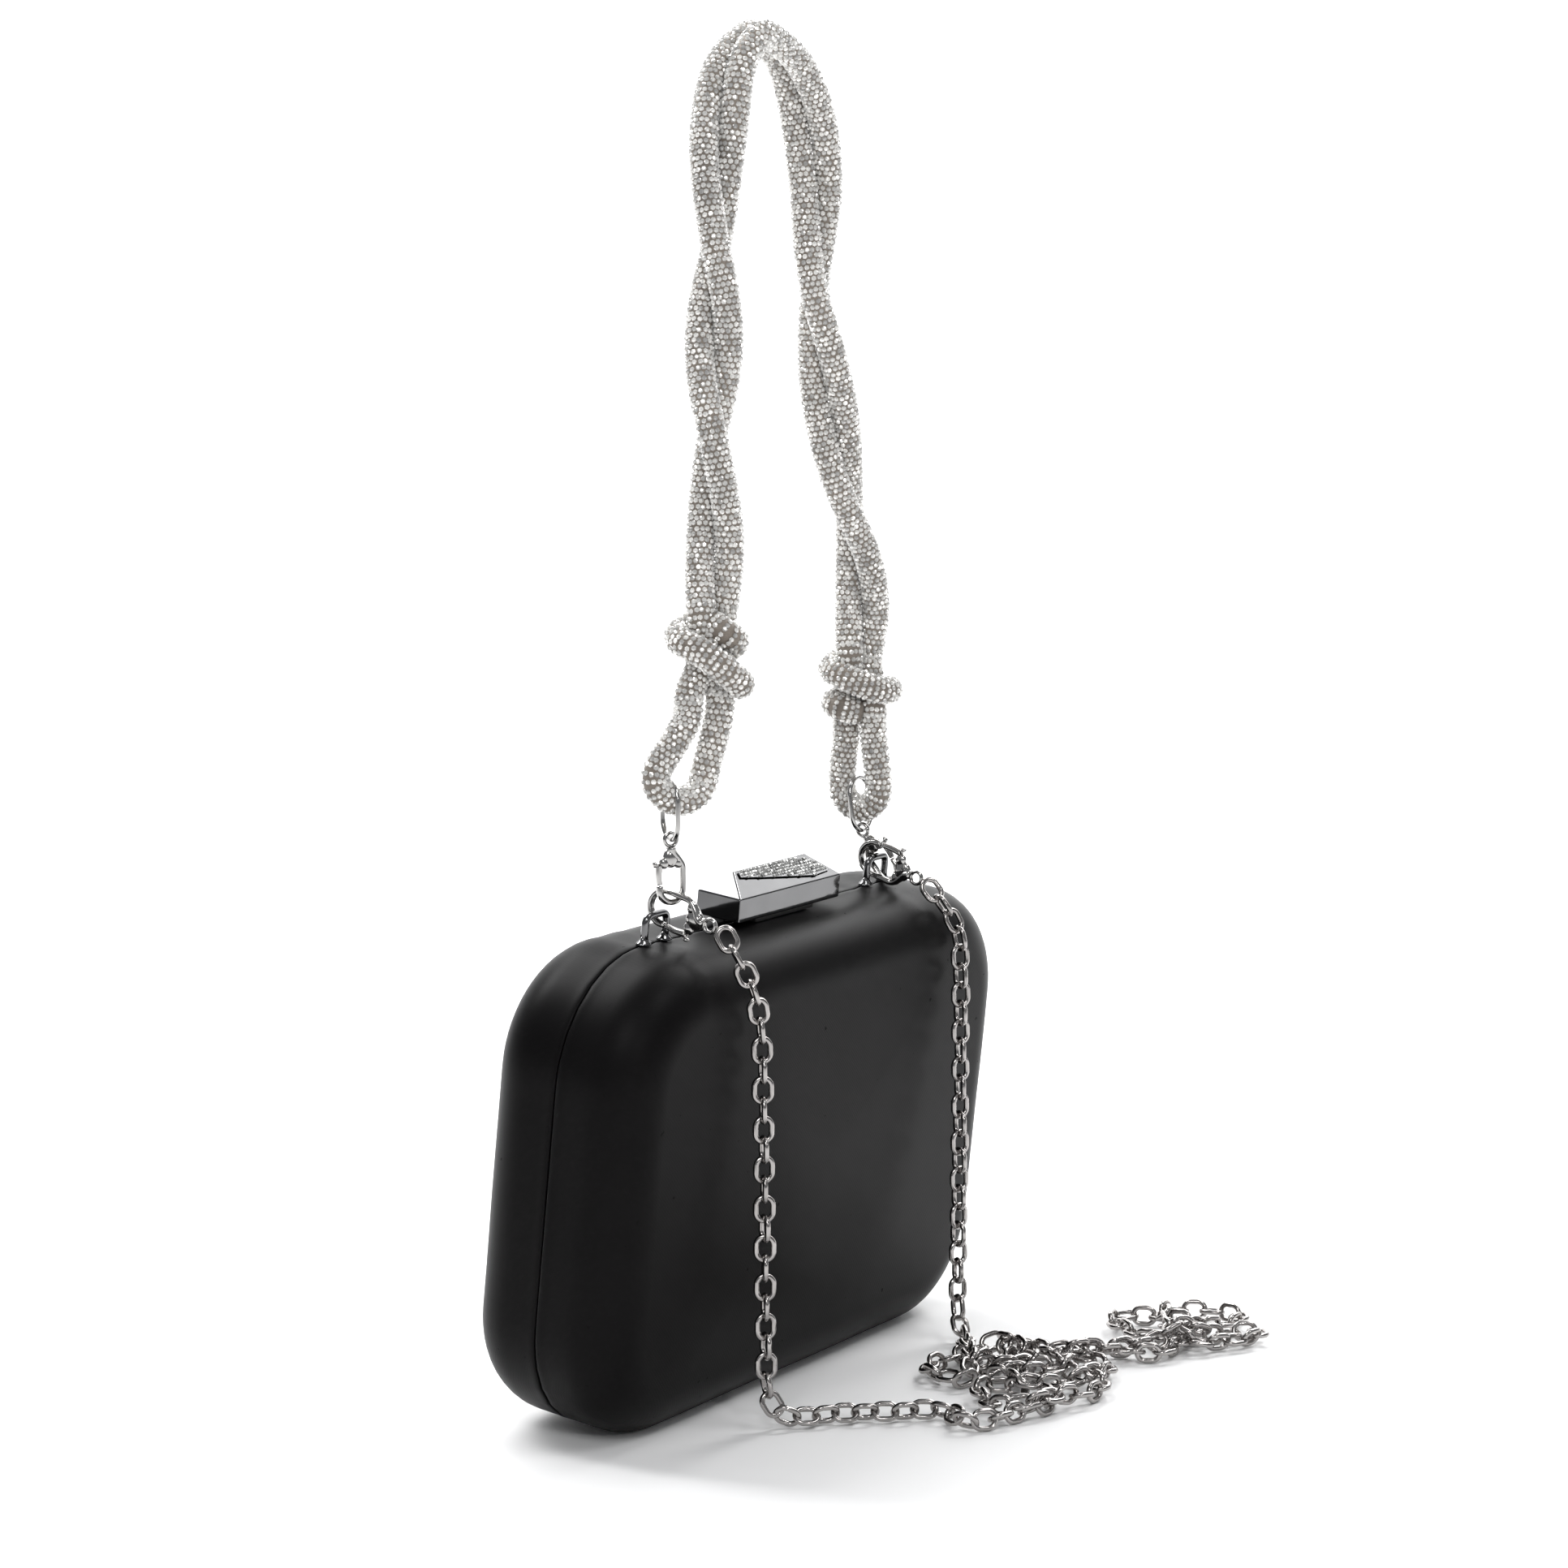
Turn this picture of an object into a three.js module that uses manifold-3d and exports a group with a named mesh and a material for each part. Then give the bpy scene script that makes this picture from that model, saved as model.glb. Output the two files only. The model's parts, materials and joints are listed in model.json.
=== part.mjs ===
// Evening bag: a hard satin box clutch with a rope handle and a loose chain strap.
// Millimetres, +X to the right, +Y to the back, +Z up. The bag stands on the floor, leaning
// forward on the rounding of its lower front edge, as the weight of the strap pulls it.
import * as THREE from 'three';
import Module from 'manifold-3d';
import { mergeVertices } from 'three/addons/utils/BufferGeometryUtils.js';

// ---- driving dimensions -------------------------------------------------------------
const bagWidth = 200;
const bagHeight = 139;
const bagDepth = 57;
const cornerRadius = 34.5;      // corners of the outline, seen from the front
const edgeRadius = 16.3;        // rounding from the side wall into the face
const crown = 2;                // swell of each face at its middle
const lean = THREE.MathUtils.degToRad(6.9);
const standY = 8.35;            // bottom seam, behind the middle of the bag's footprint
const standZ = 1.0;             // bottom seam, above the floor
const fit = 0.3;                // gap between pieces that touch
const seamGap = 0.2;            // each half stops this far from the parting plane

// layers of each half, as depths below the outer surface
const layers = {
  cover: [0, 1.2],
  shell: [1.5, 3.5],
  lining: [3.8, 4.8],
};
const frameBand = [3.8, 5.0];   // metal rim inside the mouth
const frameWidth = 8;

const hingeAxisZ = 1.7;
const hingeBarrel = 1.6;
const hingeLength = 120;
const hingeKnuckles = 7;
const grooveHalf = 1.9;
const grooveLength = 156;

const claspHalfLength = 26.5;
const claspFront = -7;
const claspBack = 8;
const claspBottom = 141;
const claspEaves = 148;
const claspRidge = { y: 1.5, z: 153.6, halfLength: 18.7 };
const claspAxis = { y: 4.6, z: 143.6 };
const claspWall = 1.2;

const lugX = 58;
const lugY = 0.1;
const lugBarZ = 147.3;
const strapThickness = 2;

const ropeDiameter = 8.4;
const strandOffset = 4.55;      // from the middle of the doubled rope to each strand
const chainWidth = 6.6;

// ---- materials ----------------------------------------------------------------------
const finish = (color, roughness, metalness) =>
  new THREE.MeshStandardMaterial({ color, roughness, metalness });
const satin = finish(0x0b0b0c, 0.42, 0);
const board = finish(0x2b2622, 0.8, 0);
const liningCloth = finish(0x141416, 0.7, 0);
const nickel = finish(0xc9c8c6, 0.18, 1);
const steel = finish(0x8f9092, 0.35, 1);
const stones = finish(0xd9d6d0, 0.12, 0.1);
const stoneMesh = finish(0xb9b4ac, 0.3, 0.4);
const gunmetal = finish(0x9c9b99, 0.22, 1);

// ---- solid helpers ------------------------------------------------------------------
const wasm = await Module();
wasm.setup();

function toManifold(geometry) {
  const bare = geometry.clone();
  bare.deleteAttribute('normal');
  bare.deleteAttribute('uv');
  const merged = mergeVertices(bare, 1e-4);
  return new wasm.Manifold(new wasm.Mesh({
    numProp: 3,
    vertProperties: new Float32Array(merged.attributes.position.array),
    triVerts: new Uint32Array(merged.index.array),
  }));
}

function fromManifold(solid) {
  const { vertProperties, triVerts } = solid.getMesh();
  const geometry = new THREE.BufferGeometry();
  geometry.setAttribute('position', new THREE.BufferAttribute(vertProperties, 3));
  geometry.setIndex(new THREE.BufferAttribute(triVerts, 1));
  return geometry;
}

const join = (...parts) => fromManifold(parts.map(toManifold).reduce((a, b) => a.add(b)));
const cut = (whole, ...tools) =>
  fromManifold(tools.map(toManifold).reduce((a, b) => a.subtract(b), toManifold(whole)));

// box from its lowest to its highest corner
function box([x0, y0, z0], [x1, y1, z1]) {
  return new THREE.BoxGeometry(x1 - x0, y1 - y0, z1 - z0)
    .translate((x0 + x1) / 2, (y0 + y1) / 2, (z0 + z1) / 2);
}

// cylinder along X
function rod(radius, x0, x1, y, z, sides = 16) {
  return new THREE.CylinderGeometry(radius, radius, x1 - x0, sides)
    .rotateZ(Math.PI / 2).translate((x0 + x1) / 2, y, z);
}

// closed skin over a stack of rings; each ring is a list of points, all the same length
function loft(rings, { ringsClose = false } = {}) {
  const count = rings[0].length;
  const position = rings.flat().flatMap((p) => [p.x, p.y, p.z]);
  const index = [];
  const bands = ringsClose ? rings.length : rings.length - 1;
  for (let r = 0; r < bands; r += 1) {
    const next = (r + 1) % rings.length;
    for (let k = 0; k < count; k += 1) {
      const a = r * count + k;
      const b = r * count + ((k + 1) % count);
      const c = next * count + ((k + 1) % count);
      const d = next * count + k;
      index.push(a, b, c, a, c, d);
    }
  }
  if (!ringsClose) {
    for (const [r, flip] of [[0, true], [rings.length - 1, false]]) {
      const hub = position.length / 3;
      const middle = rings[r].reduce((s, p) => s.add(p), new THREE.Vector3()).divideScalar(count);
      position.push(middle.x, middle.y, middle.z);
      for (let k = 0; k < count; k += 1) {
        const a = r * count + k;
        const b = r * count + ((k + 1) % count);
        if (flip) index.push(hub, b, a);
        else index.push(hub, a, b);
      }
    }
  }
  const geometry = new THREE.BufferGeometry();
  geometry.setAttribute('position', new THREE.Float32BufferAttribute(position, 3));
  geometry.setIndex(index);
  return geometry;
}

// ---- the two padded halves ----------------------------------------------------------
const cornerSteps = 6;
const roundingSteps = 5;
const halfDepth = bagDepth / 2;
const wallDepth = halfDepth - crown - edgeRadius;   // straight part of the side wall
const middle = new THREE.Vector2(0, bagHeight / 2);

// rounded rectangle of the bag, shrunk by an inset, as (x, z) points
function outline(inset) {
  const radius = cornerRadius - inset;
  const points = [];
  for (const [sx, sz, start] of [[1, 1, 0], [-1, 1, 90], [-1, -1, 180], [1, -1, 270]]) {
    for (let k = 0; k <= cornerSteps; k += 1) {
      const angle = THREE.MathUtils.degToRad(start + (90 * k) / cornerSteps);
      points.push(new THREE.Vector2(
        sx * (bagWidth / 2 - cornerRadius) + radius * Math.cos(angle),
        middle.y + sz * (bagHeight / 2 - cornerRadius) + radius * Math.sin(angle),
      ));
    }
  }
  return points;
}

const ringAt = (points, y) => points.map((p) => new THREE.Vector3(p.x, y, p.y));

// rings of the half's surface at a depth under the cover, from the mouth to the face
function faceRings(depth, mouth) {
  const rounding = edgeRadius - depth;
  const rings = [ringAt(outline(depth), mouth), ringAt(outline(depth), wallDepth)];
  for (let k = 1; k <= roundingSteps; k += 1) {
    const angle = (Math.PI / 2) * (k / roundingSteps);
    const inset = depth + rounding * (1 - Math.cos(angle));
    rings.push(ringAt(outline(inset), wallDepth + rounding * Math.sin(angle)));
  }
  const flat = outline(edgeRadius);
  for (const share of [0.7, 0.36]) {
    const points = flat.map((p) => p.clone().sub(middle).multiplyScalar(share).add(middle));
    rings.push(ringAt(points, wallDepth + rounding + crown * (1 - share * share)));
  }
  return rings;
}

// a dish between two depths, opening at the parting plane; side is +1 at the back
function dish([outer, inner], side, mouth = seamGap) {
  const wall = [...faceRings(outer, mouth).reverse(), ...faceRings(inner, mouth)];
  const skin = loft(wall);
  if (side > 0) return skin;
  return mirrored(skin);
}

// the same solid on the other side of the plane y = 0
function mirrored(geometry) {
  const copy = geometry.clone().scale(1, -1, 1);
  const index = copy.index.array;
  for (let k = 0; k < index.length; k += 3) {
    [index[k], index[k + 1]] = [index[k + 1], index[k]];
  }
  return copy;
}

// flat metal rim inside the mouth of a half
function rim(side) {
  const [outer, inner] = frameBand.map((depth) => outline(depth));
  const band = loft([
    ringAt(outer, frameWidth), ringAt(outer, seamGap),
    ringAt(inner, seamGap), ringAt(inner, frameWidth),
  ], { ringsClose: true });
  return side > 0 ? band : mirrored(band);
}

// room for the hinge along the bottom, and for the legs of the lugs through the top
const hingeGroove = box(
  [-grooveLength / 2, -grooveHalf, -2], [grooveLength / 2, grooveHalf, frameBand[1] + fit]);
const lugInner = 4;
const lugOuter = lugInner + strapThickness;
const lugLegY = [0.5, 1.6];
const lugLegBottom = bagHeight - frameBand[0] + fit;
const lugSlots = [-1, 1].flatMap((side) => [-1, 1].map((leg) => {
  const near = side * lugX + leg * lugInner - (leg < 0 ? strapThickness : 0);
  return box(
    [near - fit, seamGap - 1, lugLegBottom - fit],
    [near + strapThickness + fit, lugLegY[1] + fit, bagHeight + 1]);
}));

// the floor, as the leaning bag sees it: the cover is pressed flat where the bag stands on it
const floorUnderBag = box([-bagWidth, -bagDepth * 2, -bagDepth], [bagWidth, bagDepth * 2, 0])
  .translate(0, -standY, -standZ).rotateX(-lean);

const bag = new THREE.Group();
bag.rotation.x = lean;
bag.position.set(0, standY, standZ);

function add(parent, name, geometry, material) {
  const mesh = new THREE.Mesh(geometry, material);
  mesh.name = name;
  parent.add(mesh);
  return mesh;
}

for (const [half, side] of [['back', 1], ['front', -1]]) {
  const slots = side > 0 ? lugSlots : [];
  add(bag, `${half}_cover`,
    cut(dish(layers.cover, side), hingeGroove, floorUnderBag, ...slots), satin);
  add(bag, `${half}_shell`, cut(dish(layers.shell, side), hingeGroove, ...slots), board);
  add(bag, `${half}_lining`, dish(layers.lining, side, frameWidth + fit), liningCloth);
  add(bag, `${half}_frame`, cut(rim(side), hingeGroove), steel);
}

// ---- hinge along the bottom seam ----------------------------------------------------
const knuckleGap = 0.4;
const pinRadius = 0.7;
const leafThickness = 0.8;
const leafBottom = frameBand[1] + fit;
const webY = [0.9, 1.5];
const knucklePitch = hingeLength / hingeKnuckles;

function hingeLeaf(side) {
  const y = (near, far) => (side > 0 ? [near, far] : [-far, -near]);
  const [webNear, webFar] = y(...webY);
  const [leafNear, leafFar] = y(webY[0], frameWidth - 0.5);
  const parts = [
    box([-hingeLength / 2, webNear, hingeAxisZ + hingeBarrel + fit],
      [hingeLength / 2, webFar, leafBottom + leafThickness]),
    box([-hingeLength / 2, leafNear, leafBottom],
      [hingeLength / 2, leafFar, leafBottom + leafThickness]),
  ];
  for (let k = 0; k < hingeKnuckles; k += 1) {
    if ((k % 2 === 0) === (side > 0)) {
      const x0 = -hingeLength / 2 + k * knucklePitch + knuckleGap / 2;
      const x1 = x0 + knucklePitch - knuckleGap;
      parts.push(rod(hingeBarrel, x0, x1, 0, hingeAxisZ));
      parts.push(box([x0, webNear, hingeAxisZ], [x1, webFar, leafBottom]));
    }
  }
  return cut(join(...parts), rod(pinRadius + fit, -hingeLength, hingeLength, 0, hingeAxisZ));
}
add(bag, 'back_hinge_leaf', hingeLeaf(1), nickel);
add(bag, 'front_hinge_leaf', hingeLeaf(-1), nickel);
add(bag, 'hinge_pin',
  rod(pinRadius, -hingeLength / 2 + 0.5, hingeLength / 2 - 0.5, 0, hingeAxisZ, 12), steel);

// ---- clasp: a stone-set lever over the parting line ---------------------------------
const baseTop = bagHeight + fit + 1;
const earX = 19;
const earThickness = 1.4;
const tabX = 21.2;
const claspPinRadius = 0.6;
const axisHole = claspPinRadius + fit;

function claspBase() {
  const parts = [box([-22, 1.2, bagHeight + fit], [22, 5.4, baseTop])];
  for (const side of [-1, 1]) {
    const x = side * earX;
    parts.push(box([x - earThickness / 2, 3, baseTop - 0.5],
      [x + earThickness / 2, 5.4, claspAxis.z + 2]));
  }
  return cut(join(...parts), rod(axisHole, -30, 30, claspAxis.y, claspAxis.z));
}

function claspLever() {
  const rect = (halfX, y0, y1, z) => [
    new THREE.Vector3(halfX, y0, z), new THREE.Vector3(halfX, y1, z),
    new THREE.Vector3(-halfX, y1, z), new THREE.Vector3(-halfX, y0, z),
  ];
  const body = loft([
    rect(claspHalfLength, claspFront, claspBack, claspBottom),
    rect(claspHalfLength, claspFront, claspBack, claspEaves),
    rect(claspRidge.halfLength, claspRidge.y - 0.15, claspRidge.y + 0.15, claspRidge.z),
  ]);
  const hollow = box(
    [-claspHalfLength + claspWall, claspFront + claspWall, claspBottom - 1],
    [claspHalfLength - claspWall, claspBack - claspWall, claspEaves - claspWall]);
  const tabs = [-1, 1].map((side) => box(
    [side * tabX - earThickness / 2, 3, claspAxis.z - 1.6],
    [side * tabX + earThickness / 2, 6.2, claspEaves - 0.5]));
  return cut(join(cut(body, hollow), ...tabs),
    rod(axisHole, -tabX - 2, tabX + 2, claspAxis.y, claspAxis.z));
}
add(bag, 'clasp_base', claspBase(), nickel);
add(bag, 'clasp_lever', claspLever(), nickel);
add(bag, 'clasp_pin', rod(claspPinRadius, -tabX - 1.6, tabX + 1.6, claspAxis.y, claspAxis.z, 12), steel);

// torsion spring, as the sleeve that its turns fill
const springOuter = rod(1.8, -7, 7, claspAxis.y, claspAxis.z);
add(bag, 'clasp_spring',
  cut(springOuter, rod(claspPinRadius + fit, -8, 8, claspAxis.y, claspAxis.z)), steel);

// the catch on the front half ends just under the lever's lip
add(bag, 'clasp_catch',
  box([-15, -5.4, bagHeight + fit], [15, -1, claspBottom - fit - 0.1]), nickel);

// stone setting: a plate on the lever's front slope, wider towards its right end
const slopeRun = claspRidge.y - claspFront;
const slopeRise = claspRidge.z - claspEaves;
const slopeLength = Math.hypot(slopeRun, slopeRise);
const settingThickness = 0.7;
const settingOutline = [
  [-17.6, 9.3], [12.5, 9.3], [18.5, 7.6], [22.4, 2.2], [14, 1.6], [4, 3.2], [-8, 5.2], [-18.6, 7.2],
];
const setting = new THREE.ExtrudeGeometry(
  new THREE.Shape(settingOutline.map(([x, up]) => new THREE.Vector2(x, up))),
  { depth: settingThickness, bevelEnabled: false, steps: 1 });
setting.rotateX(Math.atan2(slopeRise, slopeRun))
  .translate(0, claspFront, claspEaves)
  .translate(0, (-slopeRise / slopeLength) * fit, (slopeRun / slopeLength) * fit);
add(bag, 'clasp_stones', setting, stones);

// ---- lugs on the top seam -----------------------------------------------------------
function lug(side) {
  const arch = new THREE.Shape();
  const top = lugBarZ + strapThickness / 2;
  const crownRadius = 2.4;
  const foot = 7.6;
  const footTop = bagHeight + fit + 0.9;
  arch.moveTo(-foot, bagHeight + fit);
  arch.lineTo(-foot, footTop);
  arch.lineTo(-lugOuter, footTop);
  arch.lineTo(-lugOuter, top - crownRadius);
  arch.absarc(-lugOuter + crownRadius, top - crownRadius, crownRadius, Math.PI, Math.PI / 2, true);
  arch.lineTo(lugOuter - crownRadius, top);
  arch.absarc(lugOuter - crownRadius, top - crownRadius, crownRadius, Math.PI / 2, 0, true);
  arch.lineTo(lugOuter, footTop);
  arch.lineTo(foot, footTop);
  arch.lineTo(foot, bagHeight + fit);
  arch.lineTo(lugInner, bagHeight + fit);
  arch.lineTo(lugInner, top - strapThickness);
  arch.lineTo(-lugInner, top - strapThickness);
  arch.lineTo(-lugInner, bagHeight + fit);
  arch.closePath();
  const halfStrap = 1.5;
  const strap = new THREE.ExtrudeGeometry(arch,
    { depth: 2 * halfStrap, bevelEnabled: false, curveSegments: 4, steps: 1 });
  strap.rotateX(Math.PI / 2).translate(0, lugY + halfStrap, 0);
  const legs = [-1, 1].map((leg) => {
    const near = leg < 0 ? -lugOuter : lugInner;
    return box([near, lugLegY[0], lugLegBottom], [near + strapThickness, lugLegY[1], footTop]);
  });
  return join(strap, ...legs).translate(side * lugX, 0, 0);
}
add(bag, 'lug_left', lug(-1), nickel);
add(bag, 'lug_right', lug(1), nickel);

// ---- lobster clasps -----------------------------------------------------------------
// In its own axes a clasp runs along +X from the middle of its eye to its tip, its trigger
// is on the +Y side, and it is flat along Z.
const hookThickness = 2.4;
const hookBevel = 0.5;
const eyeOuter = 2.4;
const eyeInner = 1.35;
const hookWall = 1.7;

function stadium(x0, x1, halfWidth, Path) {
  const path = new Path();
  const radius = Math.min(halfWidth, (x1 - x0) / 2);
  path.moveTo(x0 + radius, -halfWidth);
  path.lineTo(x1 - radius, -halfWidth);
  path.absarc(x1 - radius, 0, radius, -Math.PI / 2, Math.PI / 2, false);
  path.lineTo(x0 + radius, halfWidth);
  path.absarc(x0 + radius, 0, radius, Math.PI / 2, (3 * Math.PI) / 2, false);
  return path;
}

function plate(shape, thickness, bevel) {
  return new THREE.ExtrudeGeometry(shape, {
    depth: thickness - 2 * bevel, bevelEnabled: bevel > 0, bevelThickness: bevel,
    bevelSize: bevel, bevelOffset: -bevel, bevelSegments: 1, curveSegments: 5, steps: 1,
  }).translate(0, 0, -thickness / 2 + bevel);
}

function clasp(length, halfWidth, mouthEnd) {
  const bodyStart = 5.4;
  const hole = { from: 7.2, to: length - hookWall, half: halfWidth - hookWall };
  const hook = stadium(bodyStart, length, halfWidth, THREE.Shape);
  hook.holes.push(stadium(hole.from, hole.to, hole.half, THREE.Path));
  const eye = new THREE.Shape().absarc(0, 0, eyeOuter, 0, 2 * Math.PI, false);
  eye.holes.push(new THREE.Path().absarc(0, 0, eyeInner, 0, 2 * Math.PI, false));
  const neck = new THREE.Shape([
    new THREE.Vector2(eyeInner + 0.5, -1.4), new THREE.Vector2(7.6, -halfWidth + 1.6),
    new THREE.Vector2(7.6, halfWidth - 1.6), new THREE.Vector2(eyeInner + 0.5, 1.4),
  ]);
  const mouth = { from: 7, to: mouthEnd };
  const half = hookThickness / 2;
  const whole = join(plate(hook, hookThickness, hookBevel), plate(eye, hookThickness, 0.35),
    plate(neck, hookThickness, 0));
  const body = cut(whole, box([mouth.from - fit, hole.half - 0.6, -half - 1],
    [mouth.to + fit, halfWidth + 1, half + 1]));
  const leverWall = 1.5;
  const lever = new THREE.Shape([
    new THREE.Vector2(mouth.from, hole.half + 0.15),
    new THREE.Vector2(mouth.to, hole.half + 0.15),
    new THREE.Vector2(mouth.to, hole.half + leverWall),
    new THREE.Vector2(mouth.from + 2.4, halfWidth - 0.1),
    new THREE.Vector2(mouth.from + 1.7, halfWidth + 1.8),
    new THREE.Vector2(mouth.from - 0.6, halfWidth + 1.9),
    new THREE.Vector2(mouth.from, halfWidth + 0.2),
  ]);
  return { body, trigger: plate(lever, hookThickness - 0.4, 0) };
}

// place both pieces of a clasp by its eye, the direction to its tip and its trigger side
function addClasp(parent, name, { length, halfWidth, mouthEnd, eye, along, triggerSide }) {
  const a = new THREE.Vector3(...along).normalize();
  const b = new THREE.Vector3(...triggerSide);
  b.addScaledVector(a, -a.dot(b)).normalize();
  const place = new THREE.Matrix4().makeBasis(a, b, a.clone().cross(b));
  const { body, trigger } = clasp(length, halfWidth, mouthEnd);
  for (const [suffix, geometry] of [['', body], ['_trigger', trigger]]) {
    const mesh = add(parent, `${name}${suffix}`, geometry, nickel);
    mesh.quaternion.setFromRotationMatrix(place);
    mesh.position.set(...eye);
  }
}

// everything outside the leaning bag: same origin at the bottom seam, but upright
const hanging = new THREE.Group();
hanging.position.set(0, standY, standZ);

const chainClasp = { length: 21.4, halfWidth: 5.8, mouthEnd: 14.1 };
const handleClasp = { length: 18.6, halfWidth: 4.4, mouthEnd: 12.5 };
const leftClaspX = -55.8;
addClasp(hanging, 'chain_clasp_left', { ...chainClasp,
  eye: [leftClaspX, -34.2, 144], along: [0, 0.971, 0.24], triggerSide: [0, 0.24, -0.971] });
addClasp(hanging, 'chain_clasp_right', { ...chainClasp,
  eye: [lugX - 1.55, -32.6, 141.2], along: [0, 0.95, 0.31], triggerSide: [0, -0.31, 0.95] });
addClasp(hanging, 'handle_clasp_left', { ...handleClasp,
  eye: [leftClaspX, -21.2, 167.4], along: [0, 0, -1], triggerSide: [-0.85, 0.52, 0] });
addClasp(hanging, 'handle_clasp_right', { ...handleClasp,
  eye: [lugX + 1.55, -11.6, 153.8], along: [0, -0.62, -0.785], triggerSide: [0, -0.785, 0.62] });

// ---- oval rings between the handle clasps and the rope ------------------------------
const ringWire = 0.75;
const ringHalfWidth = 5.4;      // to the middle of the wire
const ringLength = 16.2;        // between the middles of the end turns

// ring with its lower turn at the eye, its long axis along one direction, flat across another
function ovalRing(eye, along, flat) {
  const ring = new THREE.TorusGeometry(ringHalfWidth, ringWire, 8, 24);
  const stretch = ringLength - 2 * ringHalfWidth;
  const position = ring.attributes.position;
  for (let k = 0; k < position.count; k += 1) {
    const y = position.getY(k);
    if (y > 1e-6) position.setY(k, y + stretch);
  }
  ring.translate(0, ringHalfWidth, 0);
  const up = new THREE.Vector3(...along).normalize();
  const right = new THREE.Vector3(...flat).normalize();
  ring.applyMatrix4(new THREE.Matrix4().makeBasis(right, up, right.clone().cross(up)));
  return ring.translate(...eye);
}
add(hanging, 'ring_left', ovalRing([leftClaspX, -21.2, 167.4], [0, 0, 1], [0.52, 0.85, 0]), nickel);
add(hanging, 'ring_right', ovalRing([lugX + 1.55, -11.6, 153.8], [0, 0.1, 1], [1, 0, 0]), nickel);

// ---- rope handle --------------------------------------------------------------------
const V = (x, y, z) => new THREE.Vector3(x, y, z);
const ropeSides = 10;

// middle of the doubled rope from the left knot over the top to the right knot
const ropeRoute = new THREE.CatmullRomCurve3([
  V(-41, -26, 231.5), V(-38.5, -25.5, 250), V(-37, -24, 277), V(-33.5, -22.5, 305),
  V(-30, -21, 333), V(-24.5, -18.5, 361), V(-14, -16, 382), V(1, -15, 390),
  V(16.5, -14.5, 384.5), V(27, -14, 371), V(33, -13.5, 349), V(32.5, -13, 322),
  V(36, -13, 301), V(47, -12.5, 265), V(57, -12, 240), V(60.5, -11.3, 224), V(59.5, -11, 209.8),
]);
// share of the route at which the strands lie one behind the other, seen from the front left
const crossings = [[0, 2.85], [0.15, 2], [0.297, 1], [0.47, 0], [0.69, -1], [0.865, -2], [1, -2.7]];
const sightLine = V(0.825, 0.546, 0);

// turn of the strands about each other at a share of the route
function twistAt(share) {
  let k = 0;
  while (k < crossings.length - 2 && share > crossings[k + 1][0]) k += 1;
  const [from, first] = crossings[k];
  const [to, last] = crossings[k + 1];
  return Math.PI * (0.5 + first + ((last - first) * (share - from)) / (to - from));
}

function strandPoint(share, side) {
  const along = ropeRoute.getTangentAt(share);
  const across = sightLine.clone().cross(along).normalize();
  const deep = along.clone().cross(across).normalize();
  const turn = twistAt(share);
  return ropeRoute.getPointAt(share)
    .addScaledVector(across, side * strandOffset * Math.cos(turn))
    .addScaledVector(deep, side * strandOffset * Math.sin(turn));
}

function tube(points, diameter, sides, steps) {
  const section = new THREE.Shape();
  section.absarc(0, 0, diameter / 2, 0, 2 * Math.PI, false);
  return new THREE.ExtrudeGeometry(section, {
    steps, curveSegments: sides / 2, extrudePath: new THREE.CatmullRomCurve3(points),
    bevelEnabled: false,
  });
}

const strandSamples = 60;
for (const [name, side] of [['rope_strand_a', 1], ['rope_strand_b', -1]]) {
  const points = Array.from({ length: strandSamples + 1 },
    (_, k) => strandPoint(k / strandSamples, side));
  add(hanging, name, tube(points, ropeDiameter, ropeSides, 64), stoneMesh);
}

// knot: a short barrel along the rope, flat where the strands enter it
function knot(middlePoint, along, [halfLength, waist, girth]) {
  const profile = [
    [0, -halfLength], [waist, -halfLength], [girth, -halfLength * 0.45], [girth, halfLength * 0.45],
    [waist, halfLength], [0, halfLength],
  ].map(([r, y]) => new THREE.Vector2(r, y));
  const barrel = new THREE.LatheGeometry(profile, 14);
  const turn = new THREE.Quaternion().setFromUnitVectors(V(0, 1, 0), along.clone().normalize());
  return barrel.applyQuaternion(turn).translate(middlePoint.x, middlePoint.y, middlePoint.z);
}
const knots = {
  left: { middle: V(-44, -26.5, 217.8), along: V(0.22, 0.03, 0.97), size: [12.5, 9.5, 13.5] },
  right: { middle: V(59.2, -11, 198.6), along: V(0, 0, 1), size: [10, 9.5, 13] },
};
for (const [side, { middle: point, along, size }] of Object.entries(knots)) {
  add(hanging, `rope_knot_${side}`, knot(point, along, size), stoneMesh);
}

// small loop under each knot, round the ring: down one side, round its turn, and up the other
const loopNeck = 4.9;           // from the middle of the knot's foot to each side of the loop
const loopLeadIn = 7;           // straight stretch at the knot
const loopSpare = 2;            // cut off again, square to the knot's foot
function loopRoute({ turn, down, flat, radius }, { middle: knotMiddle, along, size }) {
  const up = along.clone().normalize();
  const foot = knotMiddle.clone().addScaledVector(up, -size[0] + loopSpare);
  const neck = (side, drop) =>
    foot.clone().addScaledVector(flat, side * loopNeck).addScaledVector(up, -drop);
  const arc = Array.from({ length: 7 }, (_, k) => {
    const angle = Math.PI * (k / 6);
    return turn.clone().addScaledVector(flat, -radius * Math.cos(angle))
      .addScaledVector(down, radius * Math.sin(angle));
  });
  return [neck(-1, 0), neck(-1, loopLeadIn), ...arc, neck(1, loopLeadIn), neck(1, 0)];
}
const loops = {
  left: { turn: V(leftClaspX, -21.2, 186.2), down: V(0, 0, -1), flat: V(0.85, -0.52, 0), radius: 7.6 },
  right: { turn: V(59.5, -10.8, 167), down: V(0, 0, -1), flat: V(0, 1, 0), radius: 6.6 },
};
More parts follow.
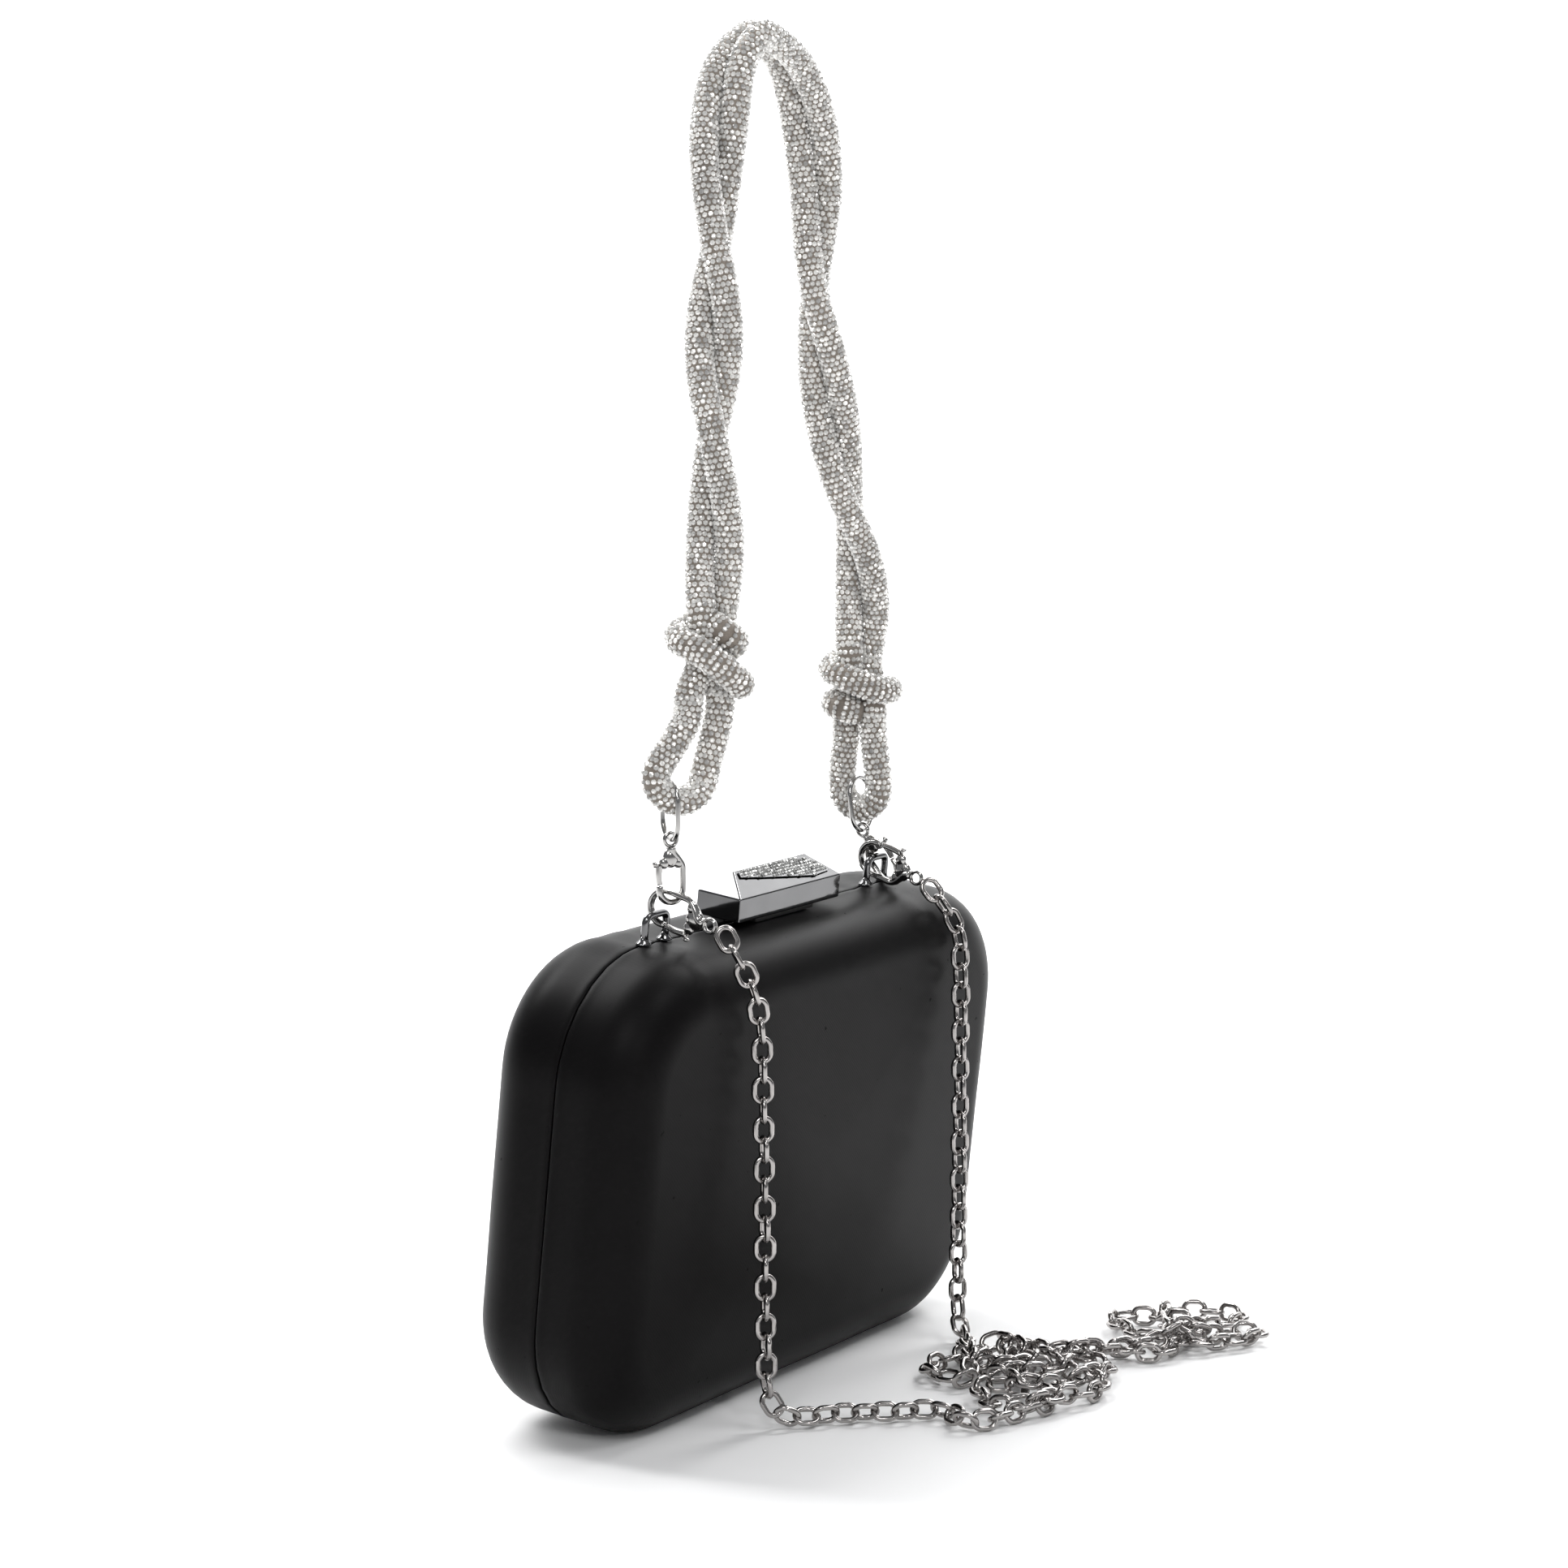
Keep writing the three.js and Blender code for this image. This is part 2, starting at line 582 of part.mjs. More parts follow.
for (const [side, loop] of Object.entries(loops)) {
  const { middle: knotMiddle, along, size } = knots[side];
  const aboveFoot = new THREE.CylinderGeometry(2 * size[2], 2 * size[2], 2 * size[0], 8)
    .translate(0, -fit, 0)
    .applyQuaternion(new THREE.Quaternion()
      .setFromUnitVectors(V(0, 1, 0), along.clone().normalize()))
    .translate(...knotMiddle.toArray());
  add(hanging, `rope_loop_${side}`,
    cut(tube(loopRoute(loop, knots[side]), ropeDiameter, ropeSides, 26), aboveFoot), stoneMesh);
}

// ---- chain strap --------------------------------------------------------------------
const chainSides = 8;
const onFloor = chainWidth / 2 - standZ + 0.05;
const chainLeft = [
  V(-55.4, -38, 143), V(-54, -42, 135.5), V(-50.6, -44.8, 126.5), V(-48.2, -45.6, 116),
  V(-47.4, -45.8, 90), V(-47.3, -45.8, 55), V(-47.2, -45.8, 22), V(-47, -46.4, 9),
  V(-45.5, -49.5, onFloor + 0.6), V(-41, -54.5, onFloor), V(-35, -59.5, onFloor),
  V(-28.5, -66.5, onFloor), V(-22, -75.5, onFloor), V(-15, -83.5, onFloor),
];
const chainRight = [
  V(56.6, -36, 140), V(58.3, -40.8, 133.3), V(60.5, -44.6, 126), V(60.4, -45.6, 115),
  V(60, -45.8, 90), V(59.3, -45.8, 55), V(58.3, -45.8, 24), V(57.6, -46.2, 9),
  V(55, -48.8, onFloor + 0.4), V(51.5, -52, onFloor),
];
add(hanging, 'chain_left_drop', tube(chainLeft, chainWidth, chainSides, 34), gunmetal);
add(hanging, 'chain_right_drop', tube(chainRight, chainWidth, chainSides, 24), gunmetal);

// a heap of chain: the low rounded solid that its turns fill
function heap(outlinePoints, height) {
  const centre = outlinePoints.reduce((s, p) => s.add(p), new THREE.Vector2())
    .divideScalar(outlinePoints.length);
  const smooth = new THREE.SplineCurve([...outlinePoints, outlinePoints[0]])
    .getSpacedPoints(22).slice(0, -1);
  const ring = (share, z) => smooth.map((p) => {
    const q = p.clone().sub(centre).multiplyScalar(share).add(centre);
    return V(q.x, q.y, z);
  });
  const floor = -standZ + 0.05;
  return loft([ring(0.93, floor), ring(1, floor + height * 0.35), ring(0.9, floor + height * 0.75),
    ring(0.62, floor + height)]);
}
const P = (x, y) => new THREE.Vector2(x, y);
const heapHeight = 14;
add(hanging, 'chain_heap_near',
  heap([P(-12, -88), P(2, -112), P(34, -118), P(58, -101), P(66, -76), P(57, -58), P(30, -58),
    P(4, -70)], heapHeight), gunmetal);
add(hanging, 'chain_heap_far',
  heap([P(62, -125), P(88, -133), P(110, -116), P(124, -92), P(112, -78), P(88, -88),
    P(70, -105)], heapHeight), gunmetal);

const evening_bag = new THREE.Group();
evening_bag.add(bag, hanging);
export default evening_bag;
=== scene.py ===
"""Evening bag: a hard satin box clutch with a stone rope handle and a loose chain strap.

Metres, +X right, +Y back, +Z up, in the frame of the CAD model. The case leans forward on its
lower front edge; the handle and the chain hang upright.
"""
import json
import math
import random

import bmesh
import bpy
from mathutils import Matrix, Vector, noise

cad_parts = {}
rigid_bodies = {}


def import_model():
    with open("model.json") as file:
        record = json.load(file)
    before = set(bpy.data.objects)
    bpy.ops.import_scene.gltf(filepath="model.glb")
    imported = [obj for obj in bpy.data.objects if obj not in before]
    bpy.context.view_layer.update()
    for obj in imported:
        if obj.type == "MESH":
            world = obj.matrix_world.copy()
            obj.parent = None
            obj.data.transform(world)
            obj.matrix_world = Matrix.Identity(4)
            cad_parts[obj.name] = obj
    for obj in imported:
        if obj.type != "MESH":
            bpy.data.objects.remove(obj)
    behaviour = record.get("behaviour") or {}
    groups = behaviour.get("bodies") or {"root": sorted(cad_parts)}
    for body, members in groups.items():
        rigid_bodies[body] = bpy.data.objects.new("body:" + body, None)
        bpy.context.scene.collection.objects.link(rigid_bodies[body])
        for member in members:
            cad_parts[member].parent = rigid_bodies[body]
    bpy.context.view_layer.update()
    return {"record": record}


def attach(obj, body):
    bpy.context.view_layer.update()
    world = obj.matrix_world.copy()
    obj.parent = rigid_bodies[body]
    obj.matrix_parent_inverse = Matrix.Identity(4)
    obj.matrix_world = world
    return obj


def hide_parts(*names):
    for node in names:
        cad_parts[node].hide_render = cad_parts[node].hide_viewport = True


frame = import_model()

MM = 0.001
LEAN = math.radians(6.9)
SEAM_FOOT = Vector((0, 8.35, 1.0)) * MM     # bottom of the seam, the origin of both groups


def hanging(x, y, z):
    """Point of the upright group, given in millimetres from the bottom of the seam."""
    return SEAM_FOOT + Vector((x, y, z)) * MM


CASE = Matrix.Translation(SEAM_FOOT) @ Matrix.Rotation(LEAN, 4, 'X')


def in_case(x, y, z):
    """Point of the leaning case, given in millimetres from the bottom of the seam."""
    return CASE @ (Vector((x, y, z)) * MM)


# ---- camera -------------------------------------------------------------------------
CAMERA_AZIMUTH = math.radians(-56.48)
CAMERA_ELEVATION = math.radians(8.17)
CAMERA_ROLL = math.radians(-0.52)
CAMERA_DISTANCE = 1.19171
CAMERA_TARGET = hanging(33.8, 0, 170.3)
LENS = 91.0
SENSOR = 36


def make_camera():
    """Camera at the photograph's place, with its slight roll."""
    back = Vector((math.sin(CAMERA_AZIMUTH) * math.cos(CAMERA_ELEVATION),
                   -math.cos(CAMERA_AZIMUTH) * math.cos(CAMERA_ELEVATION),
                   math.sin(CAMERA_ELEVATION)))
    right = Vector((0, 0, 1)).cross(back).normalized()
    up = back.cross(right)
    c, s = math.cos(CAMERA_ROLL), math.sin(CAMERA_ROLL)
    right, up = right * c + up * s, up * c - right * s
    data = bpy.data.cameras.new("camera")
    data.lens = LENS
    data.sensor_width = SENSOR
    data.clip_start = 0.01
    camera = bpy.data.objects.new("camera", data)
    turn = Matrix((right, up, back)).transposed().to_4x4()
    camera.matrix_world = Matrix.Translation(CAMERA_TARGET + back * CAMERA_DISTANCE) @ turn
    bpy.context.scene.collection.objects.link(camera)
    bpy.context.scene.camera = camera


make_camera()


# ---- materials ----------------------------------------------------------------------
class Nodes:
    """Short way to write a node material."""

    def __init__(self, name):
        self.material = bpy.data.materials.new(name)
        self.material.use_nodes = True
        self.tree = self.material.node_tree
        self.shader = self.tree.nodes["Principled BSDF"]

    def add(self, kind, **values):
        node = self.tree.nodes.new(kind)
        for key, value in values.items():
            if key in node.inputs:
                node.inputs[key].default_value = value
            else:
                setattr(node, key, value)
        return node

    def link(self, out, into):
        self.tree.links.new(out, into)

    def math(self, operation, a, b=None):
        node = self.add("ShaderNodeMath", operation=operation)
        for k, value in enumerate((a, b)):
            if value is None:
                continue
            if isinstance(value, (int, float)):
                node.inputs[k].default_value = value
            else:
                self.link(value, node.inputs[k])
        return node.outputs[0]

    def ramp(self, factor, stops):
        node = self.add("ShaderNodeValToRGB")
        elements = node.color_ramp.elements
        while len(elements) < len(stops):
            elements.new(0.5)
        for element, (position, shade) in zip(elements, stops):
            element.position = position
            element.color = (*shade, 1)
        self.link(factor, node.inputs[0])
        return node.outputs[0]

    def coordinates(self, scale=(1, 1, 1)):
        source = self.add("ShaderNodeTexCoord")
        mapping = self.add("ShaderNodeMapping")
        mapping.inputs["Scale"].default_value = scale
        self.link(source.outputs["Object"], mapping.inputs["Vector"])
        return mapping.outputs[0]

    def noise(self, vector, scale, detail=3.0):
        node = self.add("ShaderNodeTexNoise", Scale=scale, Detail=detail)
        self.link(vector, node.inputs["Vector"])
        return node.outputs["Fac"]

    def bump(self, height, strength, distance):
        node = self.add("ShaderNodeBump", Strength=strength, Distance=distance)
        self.link(height, node.inputs["Height"])
        self.link(node.outputs[0], self.shader.inputs["Normal"])

    def set(self, **values):
        for key, value in values.items():
            self.shader.inputs[key.replace("_", " ")].default_value = value
        return self


def satin_material():
    """Black satin with a fine rib across the case, and a slow drift of its gloss."""
    m = Nodes("satin").set(Sheen_Weight=0.004, Sheen_Roughness=0.4, Specular_IOR_Level=0.07)
    m.shader.inputs["Sheen Tint"].default_value = (0.7, 0.7, 0.75, 1)
    place = m.coordinates()
    ribs_per_metre, thread_scale, drift_scale, lint_scale = 620.0, 900.0, 22.0, 420.0
    rib = m.add("ShaderNodeTexWave", wave_type='BANDS', bands_direction='DIAGONAL',
                Scale=ribs_per_metre, Distortion=0.6, Detail=1.0)
    m.link(place, rib.inputs["Vector"])
    thread = m.noise(m.coordinates((1, 1, 6)), thread_scale, 2.0)
    drift = m.noise(place, drift_scale, 3.0)
    lint = m.noise(place, lint_scale, 1.0)
    deep, pale = (0.0024, 0.0022, 0.0024), (0.0046, 0.0042, 0.0045)
    m.link(m.ramp(drift, [(0.3, deep), (0.75, pale)]), m.shader.inputs["Base Color"])
    gloss = m.math('ADD', m.math('MULTIPLY', drift, 0.14), 0.33)
    speck = m.math('MULTIPLY', m.math('GREATER_THAN', lint, 0.79), 0.3)
    m.link(m.math('ADD', gloss, speck), m.shader.inputs["Roughness"])
    height = m.math('ADD', m.math('MULTIPLY', rib.outputs["Fac"], 0.7),
                    m.math('MULTIPLY', thread, 0.5))
    m.bump(height, 0.09, 0.00012)
    return m.material


def metal_material(name, color, roughness, scratch, grain=260.0):
    """Plated metal with faint rubbing marks."""
    m = Nodes(name).set(Metallic=1.0)
    place = m.coordinates((1, 1, 3))
    marks = m.noise(place, grain, 4.0)
    cloud = m.noise(m.coordinates(), 60.0, 2.0)
    dark = tuple(c * 0.82 for c in color)
    m.link(m.ramp(cloud, [(0.3, dark), (0.7, color)]), m.shader.inputs["Base Color"])
    m.link(m.math('ADD', m.math('MULTIPLY', marks, scratch), roughness),
           m.shader.inputs["Roughness"])
    m.bump(marks, 0.05, 0.00004)
    return m.material


def weave_material(name, color, pitch, roughness=0.8):
    """Plain woven cloth."""
    m = Nodes(name).set(Sheen_Weight=0.15)
    warp = m.add("ShaderNodeTexWave", bands_direction='X', Scale=pitch)
    weft = m.add("ShaderNodeTexWave", bands_direction='Z', Scale=pitch)
    place = m.coordinates()
    m.link(place, warp.inputs["Vector"])
    m.link(place, weft.inputs["Vector"])
    height = m.math('MULTIPLY', warp.outputs["Fac"], weft.outputs["Fac"])
    cloud = m.noise(place, 40.0)
    dark = tuple(c * 0.7 for c in color)
    m.link(m.ramp(cloud, [(0.3, dark), (0.7, color)]), m.shader.inputs["Base Color"])
    m.set(Roughness=roughness)
    m.bump(height, 0.3, 0.0002)
    return m.material


def stone_material(name, tint, darkest_painted_sparkle):
    """Foiled clear stones: pale and bright, with painted sparkle: each stone's colour is made
    lighter or darker at random, in place of the dark and bright reflections of its facets.
    """
    m = Nodes(name).set(Metallic=0.3, Roughness=0.1)
    geometry = m.add("ShaderNodeNewGeometry")
    painted_sparkle_shades = [(0.0, tuple(darkest_painted_sparkle * t for t in tint)), (0.2, tuple(0.62 * t for t in tint)),
              (0.7, tuple(0.82 * t for t in tint)), (1.0, tint)]
    # painted sparkle: a random shade per stone stands in for the dark and bright reflections of
    # the facets
    m.link(m.ramp(geometry.outputs["Random Per Island"], painted_sparkle_shades), m.shader.inputs["Base Color"])
    fire = m.noise(m.coordinates(), 700.0, 1.0)
    m.link(m.math('MULTIPLY', fire, 0.2), m.shader.inputs["Roughness"])
    return m.material


SATIN = satin_material()
CHROME = metal_material("nickel", (0.19, 0.19, 0.193), 0.03, 0.05)
FITTINGS = metal_material("fitting_nickel", (0.5, 0.49, 0.48), 0.08, 0.1)
DARK_CHAIN = metal_material("gunmetal", (0.44, 0.42, 0.41), 0.12, 0.12)
STEEL = metal_material("steel", (0.24, 0.24, 0.245), 0.3, 0.2)
RIM = metal_material("frame_metal", (0.6, 0.6, 0.61), 0.2, 0.2)
LINING = weave_material("lining", (0.02, 0.02, 0.022), 700.0)
BOARD = weave_material("board", (0.08, 0.07, 0.06), 260.0, 0.9)
MESH = weave_material("rope_mesh", (0.25, 0.215, 0.18), 500.0, 0.6)
# the last number is the darkest painted sparkle, the shade of the stones painted darkest in place
# of dark reflections
ROPE_STONES = stone_material("rope_stones", (1.0, 0.985, 0.955), 0.42)
CLASP_STONES = stone_material("clasp_stones", (0.42, 0.42, 0.41), 0.12)


def stage_material(name, shade, roughness):
    """Paper, very slightly cloudy."""
    m = Nodes(name).set(Roughness=roughness)
    cloud = m.noise(m.coordinates(), 2.0, 2.0)
    near = tuple(c * 0.99 for c in shade)
    m.link(m.ramp(cloud, [(0.3, near), (0.7, shade)]), m.shader.inputs["Base Color"])
    return m.material


# ---- mesh helpers -------------------------------------------------------------------
def new_piece(name, vertices, faces, material, body, slot, smooth=True):
    """Object from lists of points and faces, riding on a body."""
    mesh = bpy.data.meshes.new(name)
    mesh.from_pydata([tuple(v) for v in vertices], [], faces)
    mesh.update()
    if smooth:
        mesh.shade_smooth()
    mesh.materials.append(material)
    piece = bpy.data.objects.new(name, mesh)
    bpy.context.scene.collection.objects.link(piece)
    if body:
        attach(piece, body)
    return piece


def catmull_rom(points, t):
    """Centripetal Catmull-Rom curve through the points, t from 0 to 1, as three.js draws it."""
    last = len(points) - 1
    position = min(max(t, 0.0), 1.0) * last
    k = min(int(position), last - 1)
    weight = position - k
    p1, p2 = points[k], points[k + 1]
    p0 = points[k - 1] if k > 0 else p1 + (p1 - p2)
    p3 = points[k + 2] if k + 2 <= last else p2 + (p2 - p1)
    d0, d1, d2 = ((b - a).length ** 0.5 for a, b in ((p0, p1), (p1, p2), (p2, p3)))
    d1 = d1 or 1.0
    d0, d2 = d0 or d1, d2 or d1
    m1 = ((p1 - p0) / d0 - (p2 - p0) / (d0 + d1) + (p2 - p1) / d1) * d1
    m2 = ((p2 - p1) / d1 - (p3 - p1) / (d1 + d2) + (p3 - p2) / d2) * d1
    w, w2, w3 = weight, weight ** 2, weight ** 3
    return (p1 * (2 * w3 - 3 * w2 + 1) + m1 * (w3 - 2 * w2 + w)
            + p2 * (3 * w2 - 2 * w3) + m2 * (w3 - w2))


class Route:
    """Smooth curve through points, measured along its length."""

    def __init__(self, points, samples=1200):
        self.line = [catmull_rom(points, k / samples) for k in range(samples + 1)]
        self.run = [0.0]
        for a, b in zip(self.line, self.line[1:]):
            self.run.append(self.run[-1] + (b - a).length)
        self.length = self.run[-1]

    def at(self, share):
        goal = min(max(share, 0.0), 1.0) * self.length
        low, high = 0, len(self.run) - 1
        while high - low > 1:
            middle = (low + high) // 2
            low, high = (middle, high) if self.run[middle] <= goal else (low, middle)
        span = self.run[high] - self.run[low]
        return self.line[low].lerp(self.line[high], (goal - self.run[low]) / span if span else 0)

    def tangent(self, share):
        step = 0.002
        return (self.at(share + step) - self.at(share - step)).normalized()

    def points(self, count):
        return [self.at(k / count) for k in range(count + 1)]


def carried_frames(points):
    """Point, direction and two cross directions along a line, turned as little as possible."""
    frames = []
    side = None
    for k, point in enumerate(points):
        ahead = points[min(k + 1, len(points) - 1)] - points[max(k - 1, 0)]
        along = ahead.normalized()
        if side is None:
            guess = Vector((0, 1, 0)) if abs(along.y) < 0.9 else Vector((1, 0, 0))
            side = guess.cross(along).normalized()
        else:
            side = (side - along * side.dot(along)).normalized()
        frames.append((point, along, side, along.cross(side)))
    return frames


def tube_mesh(points, radius, sides):
    """Vertices and faces of a round tube with rounded-off ends along a line."""
    frames = carried_frames(points)
    rings = []
    for inset, shift in ((0.35, 0.35), (0.8, 0.1)):
        rings.append((frames[0], radius * inset, -radius * (0.45 - shift)))
    rings += [(f, radius, 0.0) for f in frames]
    for inset, shift in ((0.8, 0.1), (0.35, 0.35)):
        rings.append((frames[-1], radius * inset, radius * (0.45 - shift)))
    vertices, faces = [], []
    for (point, along, side, up), r, shift in rings:
        for k in range(sides):
            angle = 2 * math.pi * k / sides
            vertices.append(point + along * shift
                            + (side * math.cos(angle) + up * math.sin(angle)) * r)
    for ring in range(len(rings) - 1):
        for k in range(sides):
            a = ring * sides + k
            b = ring * sides + (k + 1) % sides
            faces.append((a, b, b + sides, a + sides))
    faces.append(tuple(reversed(range(sides))))
    faces.append(tuple(range((len(rings) - 1) * sides, len(rings) * sides)))
    return vertices, faces


def ring_tube(points, radius, sides, flatten=1.0, across=None):
    """Closed tube around a loop of points; flatten widens it along the direction across."""
    count = len(points)
    vertices, faces = [], []
    middle = sum(points, Vector()) / count
    for k, point in enumerate(points):
        along = (points[(k + 1) % count] - points[k - 1]).normalized()
        outward = point - middle
        side = (outward - along * outward.dot(along)).normalized()
        up = across.normalized() if across is not None else along.cross(side)
        for j in range(sides):
            angle = 2 * math.pi * j / sides
            vertices.append(point + side * math.cos(angle) * radius
                            + up * math.sin(angle) * radius * flatten)
    for k in range(count):
        for j in range(sides):
            a, b = k * sides + j, k * sides + (j + 1) % sides
            c = ((k + 1) % count) * sides
            faces.append((a, b, c + (j + 1) % sides, c + j))
    return vertices, faces


def joined(*meshes):
    """One list of vertices and faces out of several."""
    vertices, faces = [], []
    for some_vertices, some_faces in meshes:
        base = len(vertices)
        vertices += some_vertices
        faces += [tuple(base + k for k in face) for face in some_faces]
    return vertices, faces


# ---- chain: one line of oval links, from hook clasp to hook clasp -------------------
LINK_LENGTH = 8.4 * MM
LINK_WIDTH = 6.6 * MM
LINK_WIRE = 1.62 * MM
LINK_PITCH = 5.7 * MM
LINK_STEPS, WIRE_SIDES = 28, 7
FLOOR_Z = 2.35                  # middle of the chain above the seam's foot, lying flat

LEFT_DROP = [hanging(*p) for p in (
    (-55.4, -38, 143), (-54, -42, 135.5), (-50.6, -44.8, 126.5), (-48.2, -45.6, 116),
    (-47.4, -45.8, 90), (-47.3, -45.8, 55), (-47.2, -45.8, 22), (-47, -46.4, 9),
    (-45.5, -49.5, 3), (-41, -54.5, FLOOR_Z), (-35, -59.5, FLOOR_Z),
    (-28.5, -66.5, FLOOR_Z), (-22, -75.5, FLOOR_Z), (-15, -83.5, FLOOR_Z))]
RIGHT_DROP = [hanging(*p) for p in (
    (56.6, -36, 140), (58.3, -40.8, 133.3), (60.5, -44.6, 126), (60.4, -45.6, 115),
    (60, -45.8, 90), (59.3, -45.8, 55), (58.3, -45.8, 24), (57.6, -46.2, 9),
    (55, -48.8, 2.9), (51.5, -52, FLOOR_Z))]


def tangle(centre, drift, loop, turns, start, ways):
    """Loops of chain thrown down on each other, as points on the floor."""
    steps = round(turns * 16)
    points = []
    for k in range(steps + 1):
        share = k / steps
        around = start + 2 * math.pi * turns * share
        slow = start + ways * 2 * math.pi * share
        reach = 1 + 0.16 * math.sin(3.1 * around + start)
        points.append(hanging(
            centre[0] + drift[0] * math.cos(slow) + loop * reach * math.cos(around),
            centre[1] + drift[1] * math.sin(slow) + loop * 0.86 * reach * math.sin(around),
            FLOOR_Z))
    return points


SETTLE_CLEARANCE = 2.3 * MM     # height of one stretch of chain over the one that it crosses
SETTLE_REACH = 5.6 * MM         # how near two stretches must be to rest on each other
SETTLE_NEIGHBOURS = 9           # nearest points of the same stretch, which don't count
DROP_HEIGHT = 12 * MM           # above this the chain hangs
HEAP_LIMIT = 14 * MM            # no stretch rests on one that is higher than this
SMOOTHING_ROUNDS = 3


def settled(points):
    """Lift a line that lies on the floor over its own earlier stretches, in long low humps."""
    floor = hanging(0, 0, FLOOR_Z).z
    heights = []
    for k, point in enumerate(points):
        height = max(floor, point.z)
        for j in range(0, k - SETTLE_NEIGHBOURS):
            if points[j].z > floor + DROP_HEIGHT and height > floor + DROP_HEIGHT:
                continue
            gap = math.hypot(point.x - points[j].x, point.y - points[j].y)
            if gap < SETTLE_REACH and heights[j] < floor + HEAP_LIMIT:
                hump = math.sqrt(1 - (gap / SETTLE_REACH) ** 2)
                height = max(height, heights[j] + SETTLE_CLEARANCE * hump)
        heights.append(height)
    for _ in range(SMOOTHING_ROUNDS):
        heights = [heights[0]] + [
            max((heights[k - 1] + heights[k] * 2 + heights[k + 1]) / 4, floor)
            for k in range(1, len(heights) - 1)] + [heights[-1]]
    return [Vector((p.x, p.y, h)) for p, h in zip(points, heights)]


CHAIN_ROUTE = Route(
    LEFT_DROP
    + tangle((17, -87), (22, 12), 15, 3.3, 3.5, 0.55)
    + tangle((92, -104), (11, 8), 15.5, 2.4, 2.9, -0.7)
    + tangle((27, -77), (10, 8), 12.5, 1.7, 5.6, 0.4)
    + RIGHT_DROP[::-1], samples=2400)
CHAIN_LINE = settled(CHAIN_ROUTE.points(round(CHAIN_ROUTE.length / (2 * MM))))


def chain_links(line):
    """Oval links along a line, each turned a quarter against the last."""
    route = Route(line, samples=3 * len(line))
    count = round(route.length / LINK_PITCH)
    draw = random.Random(11)
    half_straight = (LINK_LENGTH - LINK_WIDTH) / 2
    bow = (LINK_WIDTH - LINK_WIRE) / 2
    oval = []
    for k in range(LINK_STEPS):
        angle = 2 * math.pi * k / LINK_STEPS
        shift = half_straight if math.cos(angle) > 0 else -half_straight
        oval.append((bow * math.cos(angle) + shift, bow * math.sin(angle)))
    parts = []
    frames = carried_frames([route.at((k + 0.5) / count) for k in range(count)])
    for k, (point, along, side, up) in enumerate(frames):
        on_floor = point.z < hanging(0, 0, FLOOR_Z + 1.5).z
        lean, quarter = (0.35, 0.8) if on_floor else (0.78, 1.0)
        turn = lean + draw.uniform(-0.16, 0.16) + (math.pi / 2 * quarter if k % 2 else 0)
        wide = side * math.cos(turn) + up * math.sin(turn)
        loop = [point + along * a + wide * b for a, b in oval]
        parts.append(ring_tube(loop, LINK_WIRE / 2, WIRE_SIDES, across=along.cross(wide)))
    return joined(*parts), route.length


chain_mesh, chain_length = chain_links(CHAIN_LINE)
chain = new_piece("chain", *chain_mesh, DARK_CHAIN, "back_half", "gunmetal")
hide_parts("chain_left_drop", "chain_right_drop", "chain_heap_near", "chain_heap_far")


# ---- stone rope ---------------------------------------------------------------------
ROPE_CORE = 3.75 * MM           # the mesh tube that carries the stones
STONE_PITCH = 1.8 * MM
ROW_PITCH = 0.88 * STONE_PITCH
STONE_RADIUS, STONE_HEIGHT = 0.82 * MM, 0.6 * MM
STONE_SEAT = ROPE_CORE - 0.12 * MM
CORE_SIDES = 16
STRAND_OFFSET = 4.05 * MM       # of each strand from the middle of the twisted pair
SIGHT_LINE = Vector((0.825, 0.546, 0))      # away from the camera, level
ROPE_ROUTE = Route([hanging(*p) for p in (
    (-41, -26, 231.5), (-38.5, -25.5, 250), (-37, -24, 277), (-33.5, -22.5, 305),
    (-30, -21, 333), (-24.5, -18.5, 361), (-14, -16, 382), (1, -15, 390),
    (16.5, -14.5, 384.5), (27, -14, 371), (33, -13.5, 349), (32.5, -13, 322),
    (36, -13, 301), (47, -12.5, 265), (57, -12, 240), (60.5, -11.3, 224), (59.5, -11, 209.8))])
CROSSINGS = [(0, 2.72), (0.13, 2), (0.268, 1), (0.47, 0), (0.702, -1), (0.888, -2), (1, -2.7)]


def twist_at(share):
    """Turn of the pair of strands; they cross in the picture at the shares of CROSSINGS."""
    k = 0
    while k < len(CROSSINGS) - 2 and share > CROSSINGS[k + 1][0]:
        k += 1
    (start, first), (end, last) = CROSSINGS[k], CROSSINGS[k + 1]
    return math.pi * (0.5 + first + (last - first) * (share - start) / (end - start))


def strand_point(share, side):
    """Point of one strand of the twisted pair; side is 1 or -1."""
    along = ROPE_ROUTE.tangent(share)
    across = SIGHT_LINE.cross(along).normalized()
    deep = along.cross(across).normalized()
    turn = twist_at(share)
    return (ROPE_ROUTE.at(share) + across * side * STRAND_OFFSET * math.cos(turn)
            + deep * side * STRAND_OFFSET * math.sin(turn))


def stone(point, normal, along, radius, height, spin, sides=6):
    """Cut stone: a ring of slanting faces around a flat table."""
    side = normal.cross(along).normalized()
    ahead = side.cross(normal)
    vertices = []
    for r, h in ((radius, 0), (radius * 0.94, height * 0.35), (radius * 0.5, height)):
        for k in range(sides):
            angle = spin + 2 * math.pi * k / sides
            vertices.append(point + normal * h
                            + (side * math.cos(angle) + ahead * math.sin(angle)) * r)
    faces = []
    for ring in (0, sides):
        for k in range(sides):
            a, b = ring + k, ring + (k + 1) % sides
            faces.append((a, b, b + sides, a + sides))
    faces.append(tuple(range(2 * sides, 3 * sides)))
    faces.append(tuple(reversed(range(sides))))
    return vertices, faces


def tilted(normal, amount, draw):
    """The direction, tipped a little at random."""
    tilt = Vector([draw.gauss(0, amount) for _ in range(3)])
    return (normal + tilt).normalized()


